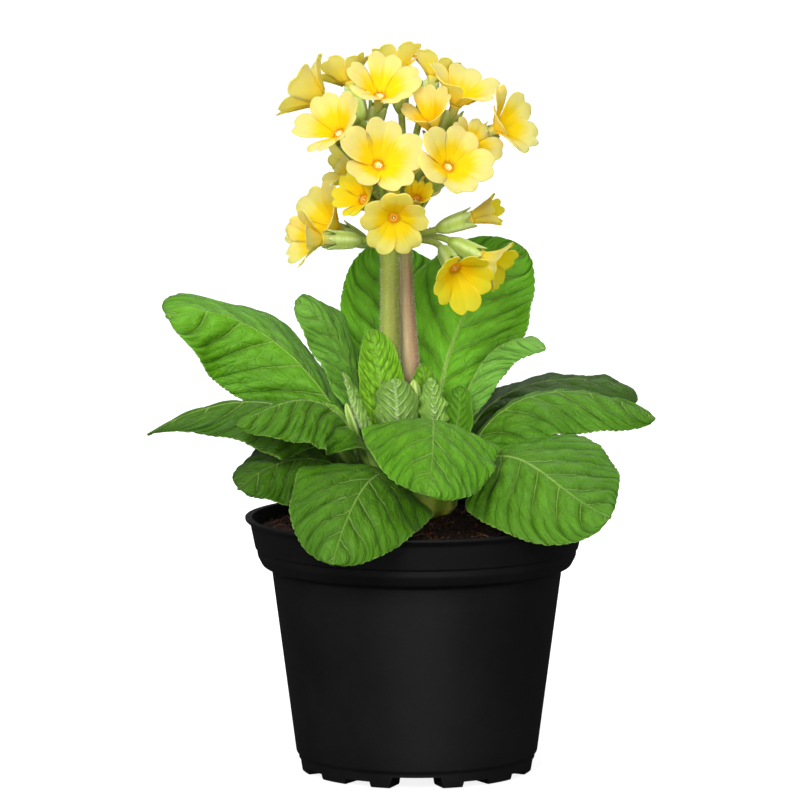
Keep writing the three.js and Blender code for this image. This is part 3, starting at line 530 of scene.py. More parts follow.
LEAVES = [
    leaf_row(LARGE, "upper_left", [(-16, 5.8, 96), (-29, 11.5, 126), (-53.5, 18.5, 151), (-87, 12, 160.5)],
             half=26.5, skew=0.08, stalk=0.06, widest=0.64, end=(2.8, 0.5), roll=(42, 34), fold=-26,
             shade=1.14, drop=3, ripple=0.8, waves=3),
    leaf_row(LARGE, "far_left", [(-17, -2, 94), (-37.5, -5, 124), (-64, -7.5, 129.8), (-94, -8, 119.5)],
             widest=0.4, end=(1.4, 1), roll=(12, 16), fold=-14, curl=-30, skew=-0.1, shade=0.48,
             grid=(140, 48)),
    leaf_row(LARGE, "mid_left",
             [(-10, -10.8, 97), (-26.8, -18.6, 127), (-43, -26, 132.5), (-62, -32, 125.5)],
             half=18.8, stalk=0.1, widest=0.34, end=(2.6, 0.6), skew=-0.1, roll=(18, 14), fold=-18, curl=-28,
             shade=0.64),
    leaf_row(LARGE, "low_left",
             [(-12.2, -10.8, 92.6), (-27, -14.2, 108.5), (-44, -14, 110.5), (-62, -16, 101.5)],
             end=(3.4, 0.5), roll=(15, 23), skew=0.08, shade=0.5, grid=(120, 44)),
    leaf_row(LARGE, "front_left",
             [(-1.6, -8, 92.5), (-11.5, -31, 108.3), (-21, -58, 101.5), (-28, -80, 84.5)],
             half=24.5, stalk=0.15, widest=0.46, end=(2, 0.56), roll=(22, 18), shade=0.6, rib=0.8),
    leaf_row(LARGE, "front", [(1.2, -8.8, 97), (5.2, -23, 125.5), (5.5, -51, 120.5), (4, -73, 106.5)],
             half=25, widest=0.44, end=(2.2, 0.6), roll=(6, 17), fold=-8, shade=0.94, rib=0.7),
    leaf_row(LARGE, "front_right", [(6, -5, 93), (28.5, -25, 113.5), (46, -44, 107.5), (65, -58, 97.5)],
             half=27, stalk=0.02, widest=0.46, end=(2.4, 0.55), roll=(-22, -36), shade=0.73, ripple=0.8,
             waves=3),
    leaf_row(LARGE, "far_right", [(12, -1.2, 95), (29.5, 0, 126), (56, 3, 132.5), (84, 5, 123.5)],
             half=19.2, stalk=0.02, widest=0.36, end=(3, 0.55), roll=(-12, -16), fold=-14, curl=-28,
             shade=0.76, skew=0.06),
    leaf_row(MIDDLE, "right_behind", [(12.4, 5.2, 97.8), (27.5, 23, 127), (55, 40, 133), (78, 52, 129)],
             half=17.5, stalk=0.02, widest=0.58, end=(3.4, 0.5), roll=(4, -16), skew=0.08, shade=0.38),
    leaf_row(MIDDLE, "right_rising", [(9.3, 0.9, 101.6), (15, 3.6, 126), (25.5, 3, 146), (45, -2, 149.5)],
             half=9.8, widest=0.5, roll=(-20, -30), fold=-36, curl=-16, puff=0.8, grid=(92, 36), shade=1.2,
             pale=0.25, drop=2),
    leaf_row(LARGE, "tall_right", [(5, 7.5, 101), (8.8, 18, 134), (18.1, 31, 158.5), (38, 42, 180)],
             half=24.6, stalk=0.1, widest=0.54, end=(2.5, 0.54), heading=78, fold=4, curl=6, shade=1.42,
             rib=1.35),
    leaf_row(LARGE, "tall_left", [(-3, 7, 100), (-5, 24, 132), (-9, 42, 159), (-10.5, 54, 181)],
             half=24, stalk=0.1, widest=0.52, end=(2, 0.6), fold=4, curl=6, skew=0.17, grid=(110, 40),
             shade=1.65),
    leaf_row(MIDDLE, "left_rising",
             [(-14, 3.3, 101), (-17.5, 6.2, 123), (-25, 3, 146.5), (-40.8, -2, 165.5)],
             half=13, stalk=0.1, widest=0.6, end=(3.4, 0.5), roll=(34, 44), grid=(110, 40), shade=1.2,
             pale=0.2, drop=2),
    leaf_row(MIDDLE, "back_left", [(-10.1, 9.4, 97.7), (-23.7, 30.4, 114.8), (-40, 47, 118), (-55, 62, 111)],
             half=17),
    leaf_row(MIDDLE, "back", [(-0.7, 8.5, 97), (1, 32, 116.5), (2.5, 58, 119), (3.5, 82, 107)], half=19),
    leaf_row(MIDDLE, "back_right", [(7.5, 10.5, 97.1), (25.4, 32.7, 113.8), (43, 49, 114), (54, 62, 104)],
             half=17),
    leaf_row(MIDDLE, "low_back_left",
             [(-5.5, 9.7, 93.4), (-17.3, 27.4, 100.5), (-34, 42, 104), (-52, 53, 99)],
             half=16, roll=(6, 30)),
    leaf_row(MIDDLE, "low_back_right", [(1.6, 10.3, 93.6), (9.4, 30.5, 100), (22, 51, 101.5), (31, 72, 95)]),
    leaf_row(SMALL, "young_upright",
             [(-6, -4, 103), (-11.1, -6.7, 122), (-12.8, -8.8, 139), (-16, -11.5, 155)],
             half=8.6, stalk=0.2, heading=100, puff=0.8, small=0.8, grid=(100, 34), shade=1.1),
    leaf_row(SMALL, "young_front",
             [(-3.8, -8, 102), (-6.3, -13.4, 115), (-6.8, -16.5, 127), (-8.2, -16, 138.7)],
             half=8.2, heading=-90, fold=8, curl=34, shade=0.62, widest=0.66, end=(3, 0.5)),
    leaf_row(SMALL, "young_curled",
             [(2.5, -4, 104), (4.5, -9, 115.5), (5.8, -10.7, 127), (4.5, -10.2, 138.5)],
             half=5.4, heading=-80, fold=-4, curl=44, shade=0.85, ripple=1.1, waves=7),
    leaf_row(SMALL, "young_hood", [(1, -3, 104), (2.6, -3, 118), (3.2, -2, 131), (1.5, -3, 142)],
             half=6.8, heading=90, fold=15, curl=45, ripple=1.0, waves=7),
    leaf_row(SMALL, "young_round",
             [(8, -4.2, 102), (11.9, -5.8, 113), (14.4, -7.3, 124.5), (14.6, -7.5, 135.5)],
             half=6.3, heading=75, tint=LEAF_TINT, bloom=LEAF_BLOOM_AND_SHEEN, slot="leaf"),
    leaf_row(SMALL, "young_folded",
             [(-10.5, -6.9, 104.8), (-16.8, -11.8, 119), (-21.6, -13, 129.5), (-24.2, -13.2, 141)],
             half=3.4, fold=35, shade=0.75, curl=20, ripple=0.9, waves=8),
    leaf_row(SMALL, "young_rolled",
             [(-16, -2.5, 100), (-19.8, -2.3, 111), (-25.2, -2.2, 121.5), (-31.5, -3.5, 130)],
             half=3.6, fold=30, curl=30),
]


def side_veins(look, bent, reach, widths):
    """Lines that taper from the midrib to the margin, and fork on the way."""
    width = look.band(reach, 0.1, 1.0, *widths)
    side, fork = (
        look.fall(look.math("DIVIDE", look.math("PINGPONG", bent, step), width), 0.0, 1.0)
        for step in (0.5, 0.25)
    )
    return look.larger(side, look.mul(fork, look.band(reach, 0.42, 0.6, 0.0, 0.7)))


def leaf_green(look, spot, tint, grain):
    """Patches and grain of the green itself."""
    patches = look.noise(spot, 45.0, 3.0, 0.6)
    base = look.mix(look.band(patches, 0.3, 0.72), look.times(tint, (0.76, 0.84, 0.6)), tint)
    return look.mix(look.band(grain, 0.35, 0.8, 0.0, 0.3), base, look.times(tint, (1.3, 1.2, 1.5)))


def leaf_look(name, strength, vein_colour, pale, widths, rough):
    """Strength and colour of the veins above, their colour below, and their width near and far."""
    look = Look(name, Specular_IOR_Level=0.14, Sheen_Weight=0.02, Sheen_Roughness=0.4)
    vein, across, mid = look.parts(look.attribute("place"))
    under, reach, opened = look.parts(look.attribute("marks"))
    tint, spot = look.attribute("tint", "Color"), look.position()
    bent = look.plus(vein, look.mul(look.plus(look.noise(spot, 260.0), -0.5), 0.09))
    line = side_veins(look, bent, reach, widths)

    def net(along, sideways, layer, width):
        place = look.joined(look.mul(bent, along), look.mul(across, sideways), layer)
        return look.fall(look.voronoi(place, 1.0), 0.0, width)

    coarse, fine = net(2.6, 0.34, 0.0, 0.13), net(8.0, 1.05, 3.0, 0.2)
    network = look.mul(coarse, look.band(under, 0.0, 1.0, 0.1, 0.32))
    veins = look.larger(look.mul(line, look.band(reach, 0.05, 0.9, 0.95, 0.3)), network)
    veins = look.mul(look.larger(veins, look.mul(fine, 0.1)), opened)
    grain = look.noise(spot, 900.0)
    base = leaf_green(look, spot, tint, grain)
    # Painted shade: a narrow dark line on each side of a vein, in the furrow where the blade dips.
    painted_furrow_shade = look.mul(look.mul(line, look.band(under, 0.0, 1.0, 0.3, 0.0)), look.band(reach, 0.3, 0.8))
    base = look.mix(painted_furrow_shade, base, look.times(tint, (0.5, 0.6, 0.4)))
    hue = look.mix(under, vein_colour, pale)
    shown = look.band(under, 0.0, 1.0, strength, 0.8)
    shown = look.larger(look.mul(shown, look.band(reach, 0.35, 0.75, 1.0, 0.25)), look.mul(under, 0.6))
    base = look.mix(look.mul(veins, shown), base, hue)
    rib = look.mul(look.fall(mid, 0.3, 0.62), look.band(vein, 3.0, 8.5, 0.8, 0.25))
    base = look.mix(rib, base, hue)
    # The stalk, and the thin margin.
    base = look.mix(look.mul(look.fall(opened, 0.0, 0.8), 0.85), base, (0.19, 0.31, 0.045))
    base = look.mix(look.band(reach, 0.97, 1.0, 0.0, 0.4), base, (0.27, 0.45, 0.09))
    # Veins are furrows above and ridges below.
    height = look.plus(line, look.plus(look.mul(coarse, 0.5), look.mul(fine, 0.14)))
    height = look.mul(look.mul(height, look.band(under, 0.0, 1.0, -1.0, 1.0)), opened)
    height = look.plus(height, look.mul(grain, 0.2))
    shine = look.band(look.noise(spot, 120.0), 0.3, 0.7, rough - 0.05, rough + 0.1)
    return look.finish(base, shine, height, 0.0004, 0.85)


def make_leaves():
    looks = {
        "leaf": leaf_look(
            "leaf_surface", 0.6, (0.26, 0.42, 0.08), (0.34, 0.5, 0.16), (0.06, 0.022), 0.42
        ),
        "leaf_young": leaf_look(
            "young_leaf_surface", 0.5, (0.42, 0.6, 0.16), (0.62, 0.76, 0.4), (0.075, 0.035), 0.46
        ),
    }
    for number, leaf in enumerate(LEAVES):
        make_leaf(leaf, LEAF_SEED_STEP * number + 1, looks[leaf.slot])


# Flowers
TUBE_LENGTH, TUBE_RADIUS, CALYX_LENGTH, PETALS = 12.8, 1.7, 16.0, 5
PETAL_THICK, BRACT_THICK = (0.5, 0.22), 0.25
# Petal is its length, open its slope in degrees near the eye and at its end, sunk how deep the tube
# sits in the calyx, deep how golden the flower is, and leave the way that its stalk starts.
WIDE = dict(open=(38, 12), spin=90, tilt=1.6, sunk=0, grid=(23, 22), deep=0.0, leave=None)
CUPPED = dict(WIDE, open=(52, 28))
BACK = dict(CUPPED, grid=(18, 14))
HALF = dict(WIDE, open=(74, 58), tilt=0.6, sunk=2.2, deep=1.0)


def flower_row(kind, umbel, eye, face, petal, **changes):
    return SimpleNamespace(**dict(kind, umbel=umbel, eye=eye, face=face, petal=petal, **changes))


FLOWERS = [
    flower_row(WIDE, "left", (-13, -29.5, 213), (0.18, -0.82, 0.54), 15, open=(42, 18)),
    flower_row(WIDE, "right", (10.7, -26.5, 212.2), (0.35, -0.76, 0.5), 14.4, open=(42, 18), spin=80),
    flower_row(WIDE, "left", (-7.7, -38, 195.8), (0.05, -0.95, -0.29), 12, open=(46, 22), deep=0.35),
    flower_row(CUPPED, "left", (-26.5, -15.5, 223), (-0.45, -0.62, 0.62), 14.8),
    flower_row(CUPPED, "left", (-12.6, -10, 235.5), (0.14, -0.62, 0.78), 15.6),
    flower_row(BACK, "right", (-6.6, 14, 243.5), (-0.08, 0.35, 0.93), 12),
    flower_row(BACK, "right", (6, 12, 241.5), (0.3, 0.3, 0.9), 11.2),
    flower_row(BACK, "left", (-23.4, 15.4, 239.5), (-0.3, 0.4, 0.86), 10.8, leave=(-0.1, -0.3, 1)),
    flower_row(CUPPED, "left", (-33, 1, 234), (-0.8, 0.12, 0.55), 16, leave=(-0.3, -0.5, 1), spin=60),
    flower_row(CUPPED, "right", (13.6, -5, 233), (0.32, -0.3, 0.88), 15.6),
    flower_row(CUPPED, "right", (28, -7.8, 224.6), (0.76, -0.5, 0.42), 14.2),
    flower_row(CUPPED, "right", (5, -11.5, 225.5), (-0.2, -0.62, 0.75), 13.4, open=(66, 46)),
    flower_row(CUPPED, "right", (18, -13, 218), (0.5, -0.6, 0.45), 10.2, open=(45, 20)),
    flower_row(BACK, "left", (-22, 7, 207), (-0.78, -0.3, 0.55), 9.6),
    flower_row(HALF, "left", (-18, -22.6, 201), (-0.56, -0.76, 0.34), 10.2, open=(64, 42)),
    flower_row(HALF, "right", (-0.3, -22, 201), (0.15, -0.85, 0.5), 7),
    flower_row(CUPPED, "left", (-28.8, 0.4, 190.2), (-0.74, -0.5, 0.44), 15, deep=0.15),
    flower_row(CUPPED, "left", (-33.4, -18, 187), (-0.9, -0.42, 0.06), 12.2, open=(58, 36), deep=0.15),
    flower_row(HALF, "right", (19.7, -8, 194), (0.94, -0.12, 0.32), 9.5),
    flower_row(HALF, "right", (13, -22, 177.6), (0.32, -0.84, -0.44), 14.8, open=(60, 38), tilt=1.2),
    flower_row(HALF, "right", (22.8, -9, 180), (0.85, -0.28, -0.42), 11.4, open=(64, 34), tilt=1.2),
    flower_row(BACK, "right", (-20, 27, 211), (-0.35, 0.7, 0.6), 11.5),
    flower_row(BACK, "right", (-1, 36, 203), (-0.05, 0.95, 0.15), 11.5),
    flower_row(BACK, "right", (11, 28, 210), (0.55, 0.82, 0.1), 11),
    flower_row(BACK, "right", (-6, 28, 190), (-0.2, 0.9, -0.35), 10, open=(38, 12)),
]


def seated(points, place):
    """From a flower's own frame, its face towards +Z and its eye at the origin, to its place."""
    return points @ turn_to(place.face).T + np.array(place.eye)


def petal_reach(distance, flower):
    """How far out from the axis, and how far forward, a distance along a petal comes."""
    steps = 8
    out, forward = TUBE_RADIUS + 0.2, 0.0
    for i in range(steps):
        share = np.minimum(1.0, (i + 0.5) / steps * distance / flower.petal)
        angle = np.radians(blend(*flower.open, share))
        out = out + np.cos(angle) * distance / steps
        forward = forward + np.sin(angle) * distance / steps
    return out, forward


def add_petal(body, flower, petal, rng):
    rows, columns = flower.grid
    s, t = np.meshgrid(np.linspace(0, 1, rows + 1), np.linspace(1, -1, columns + 1), indexing="ij")
    s = 1 - (1 - s) ** 1.15
    t = np.sign(t) * (1 - (1 - np.abs(t)) ** 1.2)
    length = flower.petal * (1 + 0.05 * rng.uniform(-1, 1))
    wide = np.abs(t)
    # Heart-shaped: round shoulders and a notch at the middle of the end.
    notch = rng.uniform(0.05, 0.12)
    shoulder = 0.4 + 0.22 * flower.deep
    outline = shoulder + (1 - shoulder) * np.maximum(0, 1 - wide**2.5) ** 0.55
    outline = outline - notch * np.exp(-((t / 0.15) ** 2))
    outline = outline + 0.012 * noise(t * 5, 0.5 + petal, flower.petal)
    fan = blend(36.5, rng.uniform(39.5, 43), smooth(s / 0.75)) * (1 + 0.03 * rng.uniform(-1, 1))
    turn = np.radians(flower.spin + 360 / PETALS * petal + t * fan + rng.uniform(-2, 2))
    out, forward = petal_reach(s * outline * length, flower)
    share = s * outline
    # One edge lies over the next petal and the other under the one before.
    forward = forward + flower.tilt * 0.42 * t * smooth(s / 0.55)
    forward = forward + (0.2 * np.sin(math.pi * np.minimum(1, wide * 1.1)) - 0.5 * wide**4) * smooth(s / 0.5)
    forward = forward - 0.15 * np.exp(-((t / 0.12) ** 2)) * smooth(s / 0.3)
    # Folds and waves, and an end that bends back.
    forward = forward + 0.38 * np.sin(t * 4.2 + rng.uniform(0, 6)) * s**3
    forward = forward + 0.12 * noise(t * 9, s * 2.5, petal + flower.petal) * s
    forward = forward + rng.uniform(-1.4, 1.4) * s * s
    forward = forward - 0.5 * smooth((share - 0.8) / 0.2) * (1 - 0.5 * flower.deep)
    place = np.stack([share, t, np.full(s.shape, petal + flower.petal)], -1)
    upper, white = seated(ring(out, turn, forward), flower), (1, 1, 1)
    thick = blend(*PETAL_THICK, smooth(s * 1.2))
    body.shell(upper, thick, white, white, place, marks=(0, 0, flower.deep))


# The stigma's knob, then the eye from the throat's floor to the ring and down outside; radius, height.
KNOB = [(0.34, -0.5), (0.44, -0.2), (0.36, 0.06), (0.15, 0.18)]
EYE = [
    (0.28, -0.75), (0.55, -0.55), (0.7, 0.0), (0.9, 0.25), (1.15, 0.25), (1.45, 0.05), (1.85, -0.15),
    (2.35, -0.4), (2.2, -1.0), (1.7, -1.8), (1.6, -5.0),
]
PALE_EYE = "8a7a10 b08a1c fff3c0 f8e8a8 dca43a d08a1a dda21a e8c020 d9cf5a d6d070 cfd07a c5cc7c bcc878"
TAN_EYE = "7a6a10 a5781a e2b044 e0a234 d08a1a d4921a e2ae1c eac41c d9cf5a d6d070 cfd07a c5cc7c bcc878"
OWN_TINT = (0, 0, 2)


def make_flower(name, flower, seed, material):
    rng = np.random.default_rng(seed)
    body = Body()
    for petal in range(PETALS):
        add_petal(body, flower, petal, rng)

    def lobed(profile, angle):
        return profile[:, :1] * (1 + 0.09 * np.cos(PETALS * (angle - math.radians(flower.spin))))

    foot = flower.sunk - TUBE_LENGTH
    rings = seated(turned([*EYE, (1.45, foot + 1.5), (1.3, foot)], 20, lobed), flower)
    codes = TAN_EYE if flower.deep else PALE_EYE
    tint = np.array([linear(code) for code in codes.split()])[:, None]
    body.rings(rings[::-1], tint=tint[::-1], marks=OWN_TINT)
    body.rings(seated(turned(KNOB, 10), flower), tint=linear("e9e7a0"), marks=OWN_TINT)
    body.piece(name, material)


def petal_look():
    look = Look("petal_surface", Specular_IOR_Level=0.07, Subsurface_Weight=0.8,
                Subsurface_Radius=(1.0, 0.8, 0.2), Subsurface_Scale=0.003)
    share, across, petal = look.parts(look.attribute("place"))
    under, _, deep = look.parts(look.attribute("marks"))

    def streaks(sideways, along, scale, detail, rough):
        place = look.joined(look.mul(across, sideways), look.mul(share, along), petal)
        return look.noise(place, scale, detail, rough)

    streak, broad = streaks(7.0, 0.8, 1.6, 3.0, 0.6), streaks(1.8, 1.0, 1.3, 2.0, 0.5)
    fine = streaks(46.0, 3.0, 1.0, 2.0, 0.5)
    edge = look.plus(share, look.mul(look.plus(streak, -0.5), 0.3))
    edge = look.plus(edge, look.mul(look.plus(broad, -0.5), 0.3))
    pale = look.mix(look.band(edge, 0.34, 0.74), (0.97, 0.525, 0.002), (1.0, 0.7, 0.18))
    rich = look.mix(look.band(edge, 0.3, 0.95), (1.0, 0.56, 0.002), (1.0, 0.66, 0.025))
    golden = look.math("MINIMUM", deep, 1.0)
    colour = look.mix(golden, pale, rich)
    # Orange at the throat. Below, the back's own paler yellow, brightened as painted light where the backs
    # face away from the lamps.
    orange = look.mul(look.fall(edge, 0.01, 0.09), look.band(golden, 0.0, 0.3, 0.75, 0.45))
    colour = look.mix(orange, colour, (0.6, 0.26, 0.008))
    back = look.mix(look.band(share, 0.1, 0.9), (1.0, 0.64, 0.06), (1.0, 0.74, 0.21))
    colour = look.mix(look.mul(under, 0.85), colour, back)
    colour = look.mix(look.band(fine, 0.2, 0.8, 0.0, 0.1), colour, (0.9, 0.55, 0.02))
    own = look.math("GREATER_THAN", deep, 1.5)
    colour = look.mix(own, colour, look.attribute("tint", "Color"))
    height = look.plus(look.mul(fine, 0.5), look.mul(streak, 1.2))
    return look.finish(colour, look.band(fine, 0.2, 0.8, 0.5, 0.64), height, 0.0002, 0.35)


# Flower stems
STEM_GREEN = linear("8fa33c")
CALYX_PALE, CALYX_GREEN = linear("bfd182"), linear("a3bb50")
STEM_HAIR, CALYX_HAIR = linear("dfe2cf"), linear("e3e6c4")
# Light is a scape's lit colour; dark is the painted shade on its right side, and also tints the stalks at
# the hub.
UMBELS = {
    "left": SimpleNamespace(
        foot=(-9, 2, 96), hub=(-9.3, -1, 185.6), radii=(3.6, 3.3), slot="stem_olive",
        light=linear("929b47"), dark=linear("7f8339"), stalk=STEM_GREEN, seed=71,
    ),
    "right": SimpleNamespace(
        foot=(0.5, 4.5, 96), hub=(-4.6, 6.4, 186), radii=(3.1, 2.9), slot="stem_rose",
        light=linear("b8a678"), dark=linear("9c7c5c"), stalk=linear("93a242"), seed=72,
    ),
}
STEM_STEPS, STEM_SIDES, STALK_SIDES, CALYX_SIDES = 70, 36, 12, 40
STEM_UPRIGHT, BRACTS, CALYX_HAIRS = np.array([0, 0, 30]), 9, 160
CALYX_WALL = [
    (1.0, -16.1), (1.5, -15.6), (2.2, -14.2), (2.75, -12.4), (3.05, -10), (3.2, -7.6), (3.25, -5.5),
]


def fuzz_along(body, path, radii, rng, per_mm, length):
    """Hairs all over a round stem."""
    steps = np.linalg.norm(np.diff(path, axis=0), axis=1)
    count = int(steps.sum() * per_mm)
    at = np.sort(rng.uniform(0, steps.sum(), count))
    along = np.concatenate([[0], np.cumsum(steps)])
    centre, ahead = (
        np.stack([np.interp(at, along, values) for values in rows.T], -1)
        for rows in (path, np.gradient(path, axis=0))
    )
    around = unit(np.cross(unit(ahead), rng.normal(0, 1, (count, 3))))
    radius = np.interp(at, along, np.broadcast_to(radii, len(path)))[:, None]
    hairs(body, centre + around * radius, around, rng, length, radius=0.05, tint=STEM_HAIR)


def add_stem(body, umbel, rng):
    foot, hub, share = np.array(umbel.foot), np.array(umbel.hub), np.linspace(0, 1, STEM_STEPS)
    path = bezier([foot, foot + STEM_UPRIGHT, hub - STEM_UPRIGHT, hub], share)[0]
    radii = blend(*umbel.radii, share)
    angle = round_angles(STEM_SIDES)
    furrow = 1 + 0.022 * np.cos(7 * angle + 1) + 0.012 * np.cos(11 * angle)
    # Painted shade: darker on its right side, away from the light. Greener low down and under the hub.
    tint = blend(umbel.light, umbel.dark, smooth(0.5 + 0.75 * np.cos(angle))[None, :, None])
    green = 0.55 * smooth((share - 0.8) / 0.2) + 0.35 * smooth((0.25 - share) / 0.25)
    tint = blend(tint, umbel.stalk, green[:, None, None])
    body.rings(ring(radii[:, None] * furrow, angle, 0) + path[:, None], tint=tint)
    fuzz_along(body, path, radii, rng, per_mm=34, length=0.75)


def add_hub(body, umbel, rng):
    """The knob that the stalks leave from, with narrow bracts round it."""
    hub, top = np.array(umbel.hub), umbel.radii[1]
    knob = [
        (0.3, -3.3), (top * 0.9, -2.9), (top + 0.5, -1.6), (top + 0.75, 0), (top + 0.4, 1.6),
        (top * 0.7, 2.9), (0.3, 3.4),
    ]
    body.rings(turned(knob, 24) + hub, tint=umbel.stalk)
    share, v = np.linspace(0, 1, 10), np.linspace(-1, 1, 5)
    half = 1.05 * (1 - share**1.6) + 0.06
    for i in range(BRACTS):
        turn = TURN * (i + rng.uniform(-0.25, 0.25)) / BRACTS
        out = np.array([math.cos(turn), math.sin(turn), 0])
        reach = rng.uniform(5.0, 7.5)
        start = hub + out * (top + 0.2) - (0, 0, 0.6)
        rise = ((0, 0), (0.4, 0.4), (0.7, 2.2), (0.9, 4.2))
        line = bezier([start + out * reach * far + (0, 0, z) for far, z in rise], share)[0]
        sideways = np.cross(out, [0, 0, 1]) * (half[:, None] * v)[..., None]
        grid = line[:, None] + sideways + out * (0.25 * v * v)[:, None]
        body.shell(grid, BRACT_THICK, umbel.stalk, umbel.stalk)


def add_stalk(body, umbel, flower, rng):
    start, face = np.array(umbel.hub), unit(np.array(flower.face))
    end = np.array(flower.eye) + face * (flower.sunk - CALYX_LENGTH + 1)
    length = np.linalg.norm(end - start)
    leave = unit(np.array(flower.leave or end - start))
    share = np.linspace(0, 1, 18)
    path = bezier([start, start + leave * length * 0.4, end - face * length * 0.35, end], share)[0]
    tint = blend(blend(umbel.dark, umbel.stalk, 0.7), umbel.stalk, smooth(share * 2)[:, None, None])
    tube(body, path, blend(1.1, 1.25, share**3), STALK_SIDES, tint)
    fuzz_along(body, path, 1.15, rng, per_mm=9, length=0.5)


def add_calyx(body, flower, rng):
    """A five-ribbed cup with a tooth on each rib, from its foot up to its teeth and down inside."""
    turn = round_angles(CALYX_SIDES)
    angle, fold = turn + math.radians(flower.spin), np.abs(np.cos(2.5 * turn))
    rib, tooth = fold**3, fold**1.6
    rings, ribbed = [], []
    for radius, z in CALYX_WALL:
        swell = smooth((z + CALYX_LENGTH) / 5)
        rings.append(ring(radius * (1 + 0.1 * swell * (rib - 0.35)), angle, z))
        ribbed.append(swell)
    mouth, mouth_height = CALYX_WALL[-1]
    for step in (0.35, 0.7, 1.0):
        wall = (mouth + 0.45 * step * tooth) * (1 + 0.1 * (rib - 0.35) * (1 - 0.6 * step))
        rings.append(ring(wall, angle, mouth_height + step * 3.3 * tooth))
        ribbed.append(1.0)
    rim_radius, rim_height = wall, rings[-1][:, 2]
    for inward, down in ((0.3, 0.0), (0.45, 2.0), (1.0, 6.5)):
        wall = np.maximum(rim_radius - inward, TUBE_RADIUS + 0.25)
        rings.append(ring(wall, angle, rim_height - down))
        ribbed.append(0.6)
    rings = np.array(rings)
    # Pale angles, greener flats between them, and the stalk's green at the foot.
    tint = blend(CALYX_GREEN, CALYX_PALE, rib[:, None] * np.array(ribbed)[:, None, None])
    tint = blend(tint, STEM_GREEN, 1 - smooth((rings[..., 2:] + CALYX_LENGTH + 0.2) / 3))
    rings = rings + (0, 0, flower.sunk)
    body.rings(seated(rings, flower), tint=tint)
    side, level = rng.integers(0, CALYX_SIDES, CALYX_HAIRS), rng.integers(1, 10, CALYX_HAIRS)
    spots = rings[level, side] + rng.normal(0, 0.15, (CALYX_HAIRS, 3))
    outward = unit(ring(1, angle[side], 0.1)) @ turn_to(flower.face).T
    hairs(body, seated(spots, flower), outward, rng, length=0.38, radius=0.03, tint=CALYX_HAIR)


def make_umbel(side, umbel, material):
    rng = np.random.default_rng(umbel.seed)
    body = Body()
    add_stem(body, umbel, rng)
    add_hub(body, umbel, rng)
    for flower in FLOWERS:
        if flower.umbel == side:
            add_stalk(body, umbel, flower, rng)
            add_calyx(body, flower, rng)
    body.piece(f"umbel_{side}", material)


def stem_look():
    look = Look("stem_surface", Specular_IOR_Level=0.15, Sheen_Weight=0.35, Sheen_Roughness=0.3,
                Sheen_Tint=(0.9, 1.0, 0.75))
    tint, spot = look.attribute("tint", "Color"), look.position()
    hair = look.parts(look.attribute("marks"))[1]
    stretched = look.node("Mapping", {"Vector": spot, "Scale": (1.0, 1.0, 0.12)})
    fibre = look.noise(stretched, 900.0, 3.0, 0.6)
    colour = look.mix(look.band(fibre, 0.3, 0.75, 0.0, 0.5), tint, look.times(tint, (1.35, 1.3, 1.5)))
    speck = look.fall(look.voronoi(spot, 650.0, "F1"), 0.1, 0.26)
    dots = look.mul(speck, look.band(look.noise(spot, 90.0), 0.45, 0.6))
    colour = look.mix(look.mul(dots, 0.45), colour, look.times(tint, (0.55, 0.32, 0.25)))
    colour = look.mix(hair, colour, tint)
    height = look.plus(look.mul(fibre, 0.7), look.noise(spot, 1500.0))
    return look.finish(colour, look.band(fibre, 0.3, 0.75, 0.5, 0.68), height, 0.00015, 0.7)


# Buds
BUDS = [
    SimpleNamespace(name="bud_left", foot=(-14.3, -6.2, 100.5), tip=(-24.5, -7.8, 129.5), girth=1.9),
    SimpleNamespace(name="bud_right", foot=(-1, -5.5, 104), tip=(-1, -9.5, 138), girth=2.4),
]


def make_bud(bud, seed, material):
    """A closed calyx, with some yellow between its teeth, on a short hairy stalk."""
    rng = np.random.default_rng(seed)
    body = Body()
    foot, axis = np.array(bud.foot), np.array(bud.tip) - bud.foot
    length = np.linalg.norm(axis)
    swollen = [(0.62, 0.66), (0.95, 0.72), (1, 0.79), (0.94, 0.86), (0.72, 0.93), (0.4, 0.975)]
    swollen = [(bud.girth * share, level) for share, level in swollen]
    profile = np.array([(0.75, 0.0), (0.75, 0.58), (0.85, 0.62), *swollen, (0.12, 1.0)])
    level = profile[:, 1:]

    def ridged(profile, angle):
        rib = np.abs(np.cos(2.5 * angle)) ** 2.5 - 0.4
        return profile[:, :1] * (1 + 0.17 * smooth((level - 0.62) / 0.08) * rib)

    rings = turned(profile * (1, length), CALYX_SIDES, ridged)
    fold = np.abs(np.cos(2.5 * round_angles(CALYX_SIDES))) ** 3
    tint = blend(linear("6f9a2e"), linear("b9cf84"), (fold * smooth((level - 0.6) / 0.1))[..., None])
    yellow = smooth((level - 0.84) / 0.08) * (1 - smooth((fold - 0.15) / 0.3))
    tint = blend(tint, linear("c8c83a"), 0.25 * yellow[..., None])
    body.rings(seated(rings, SimpleNamespace(face=axis / length, eye=foot)), tint=tint)
    stalk = foot + axis * np.linspace(0, 0.6, 12)[:, None]
    fuzz_along(body, stalk, 0.75, rng, per_mm=10, length=0.4)
    body.piece(bud.name, material)


# Pot, soil and crown
POT_OUTSIDE = [
    (0.2, 4), (32, 4), (32, 0), (41, 0), (41.6, 5.2), (42.4, 6.2), (50.8, 71), (54, 72.3), (55.7, 75.6),
    (55.9, 77.9), (56.5, 78.3), (58.2, 86.6), (60, 88.2), (60, 89),
]
POT_INSIDE = [
    (57.6, 89), (56.9, 86), (54.9, 76.6), (53.2, 74.4), (49.6, 72.2), (40.6, 7.5), (39.4, 5.2), (0.2, 5.2),
]
POT_HEIGHT, POT_SIDES = 89, 180
NOTCHES, NOTCH_INSIDE, NOTCH_OUTSIDE = 12, 31.0, 43.0
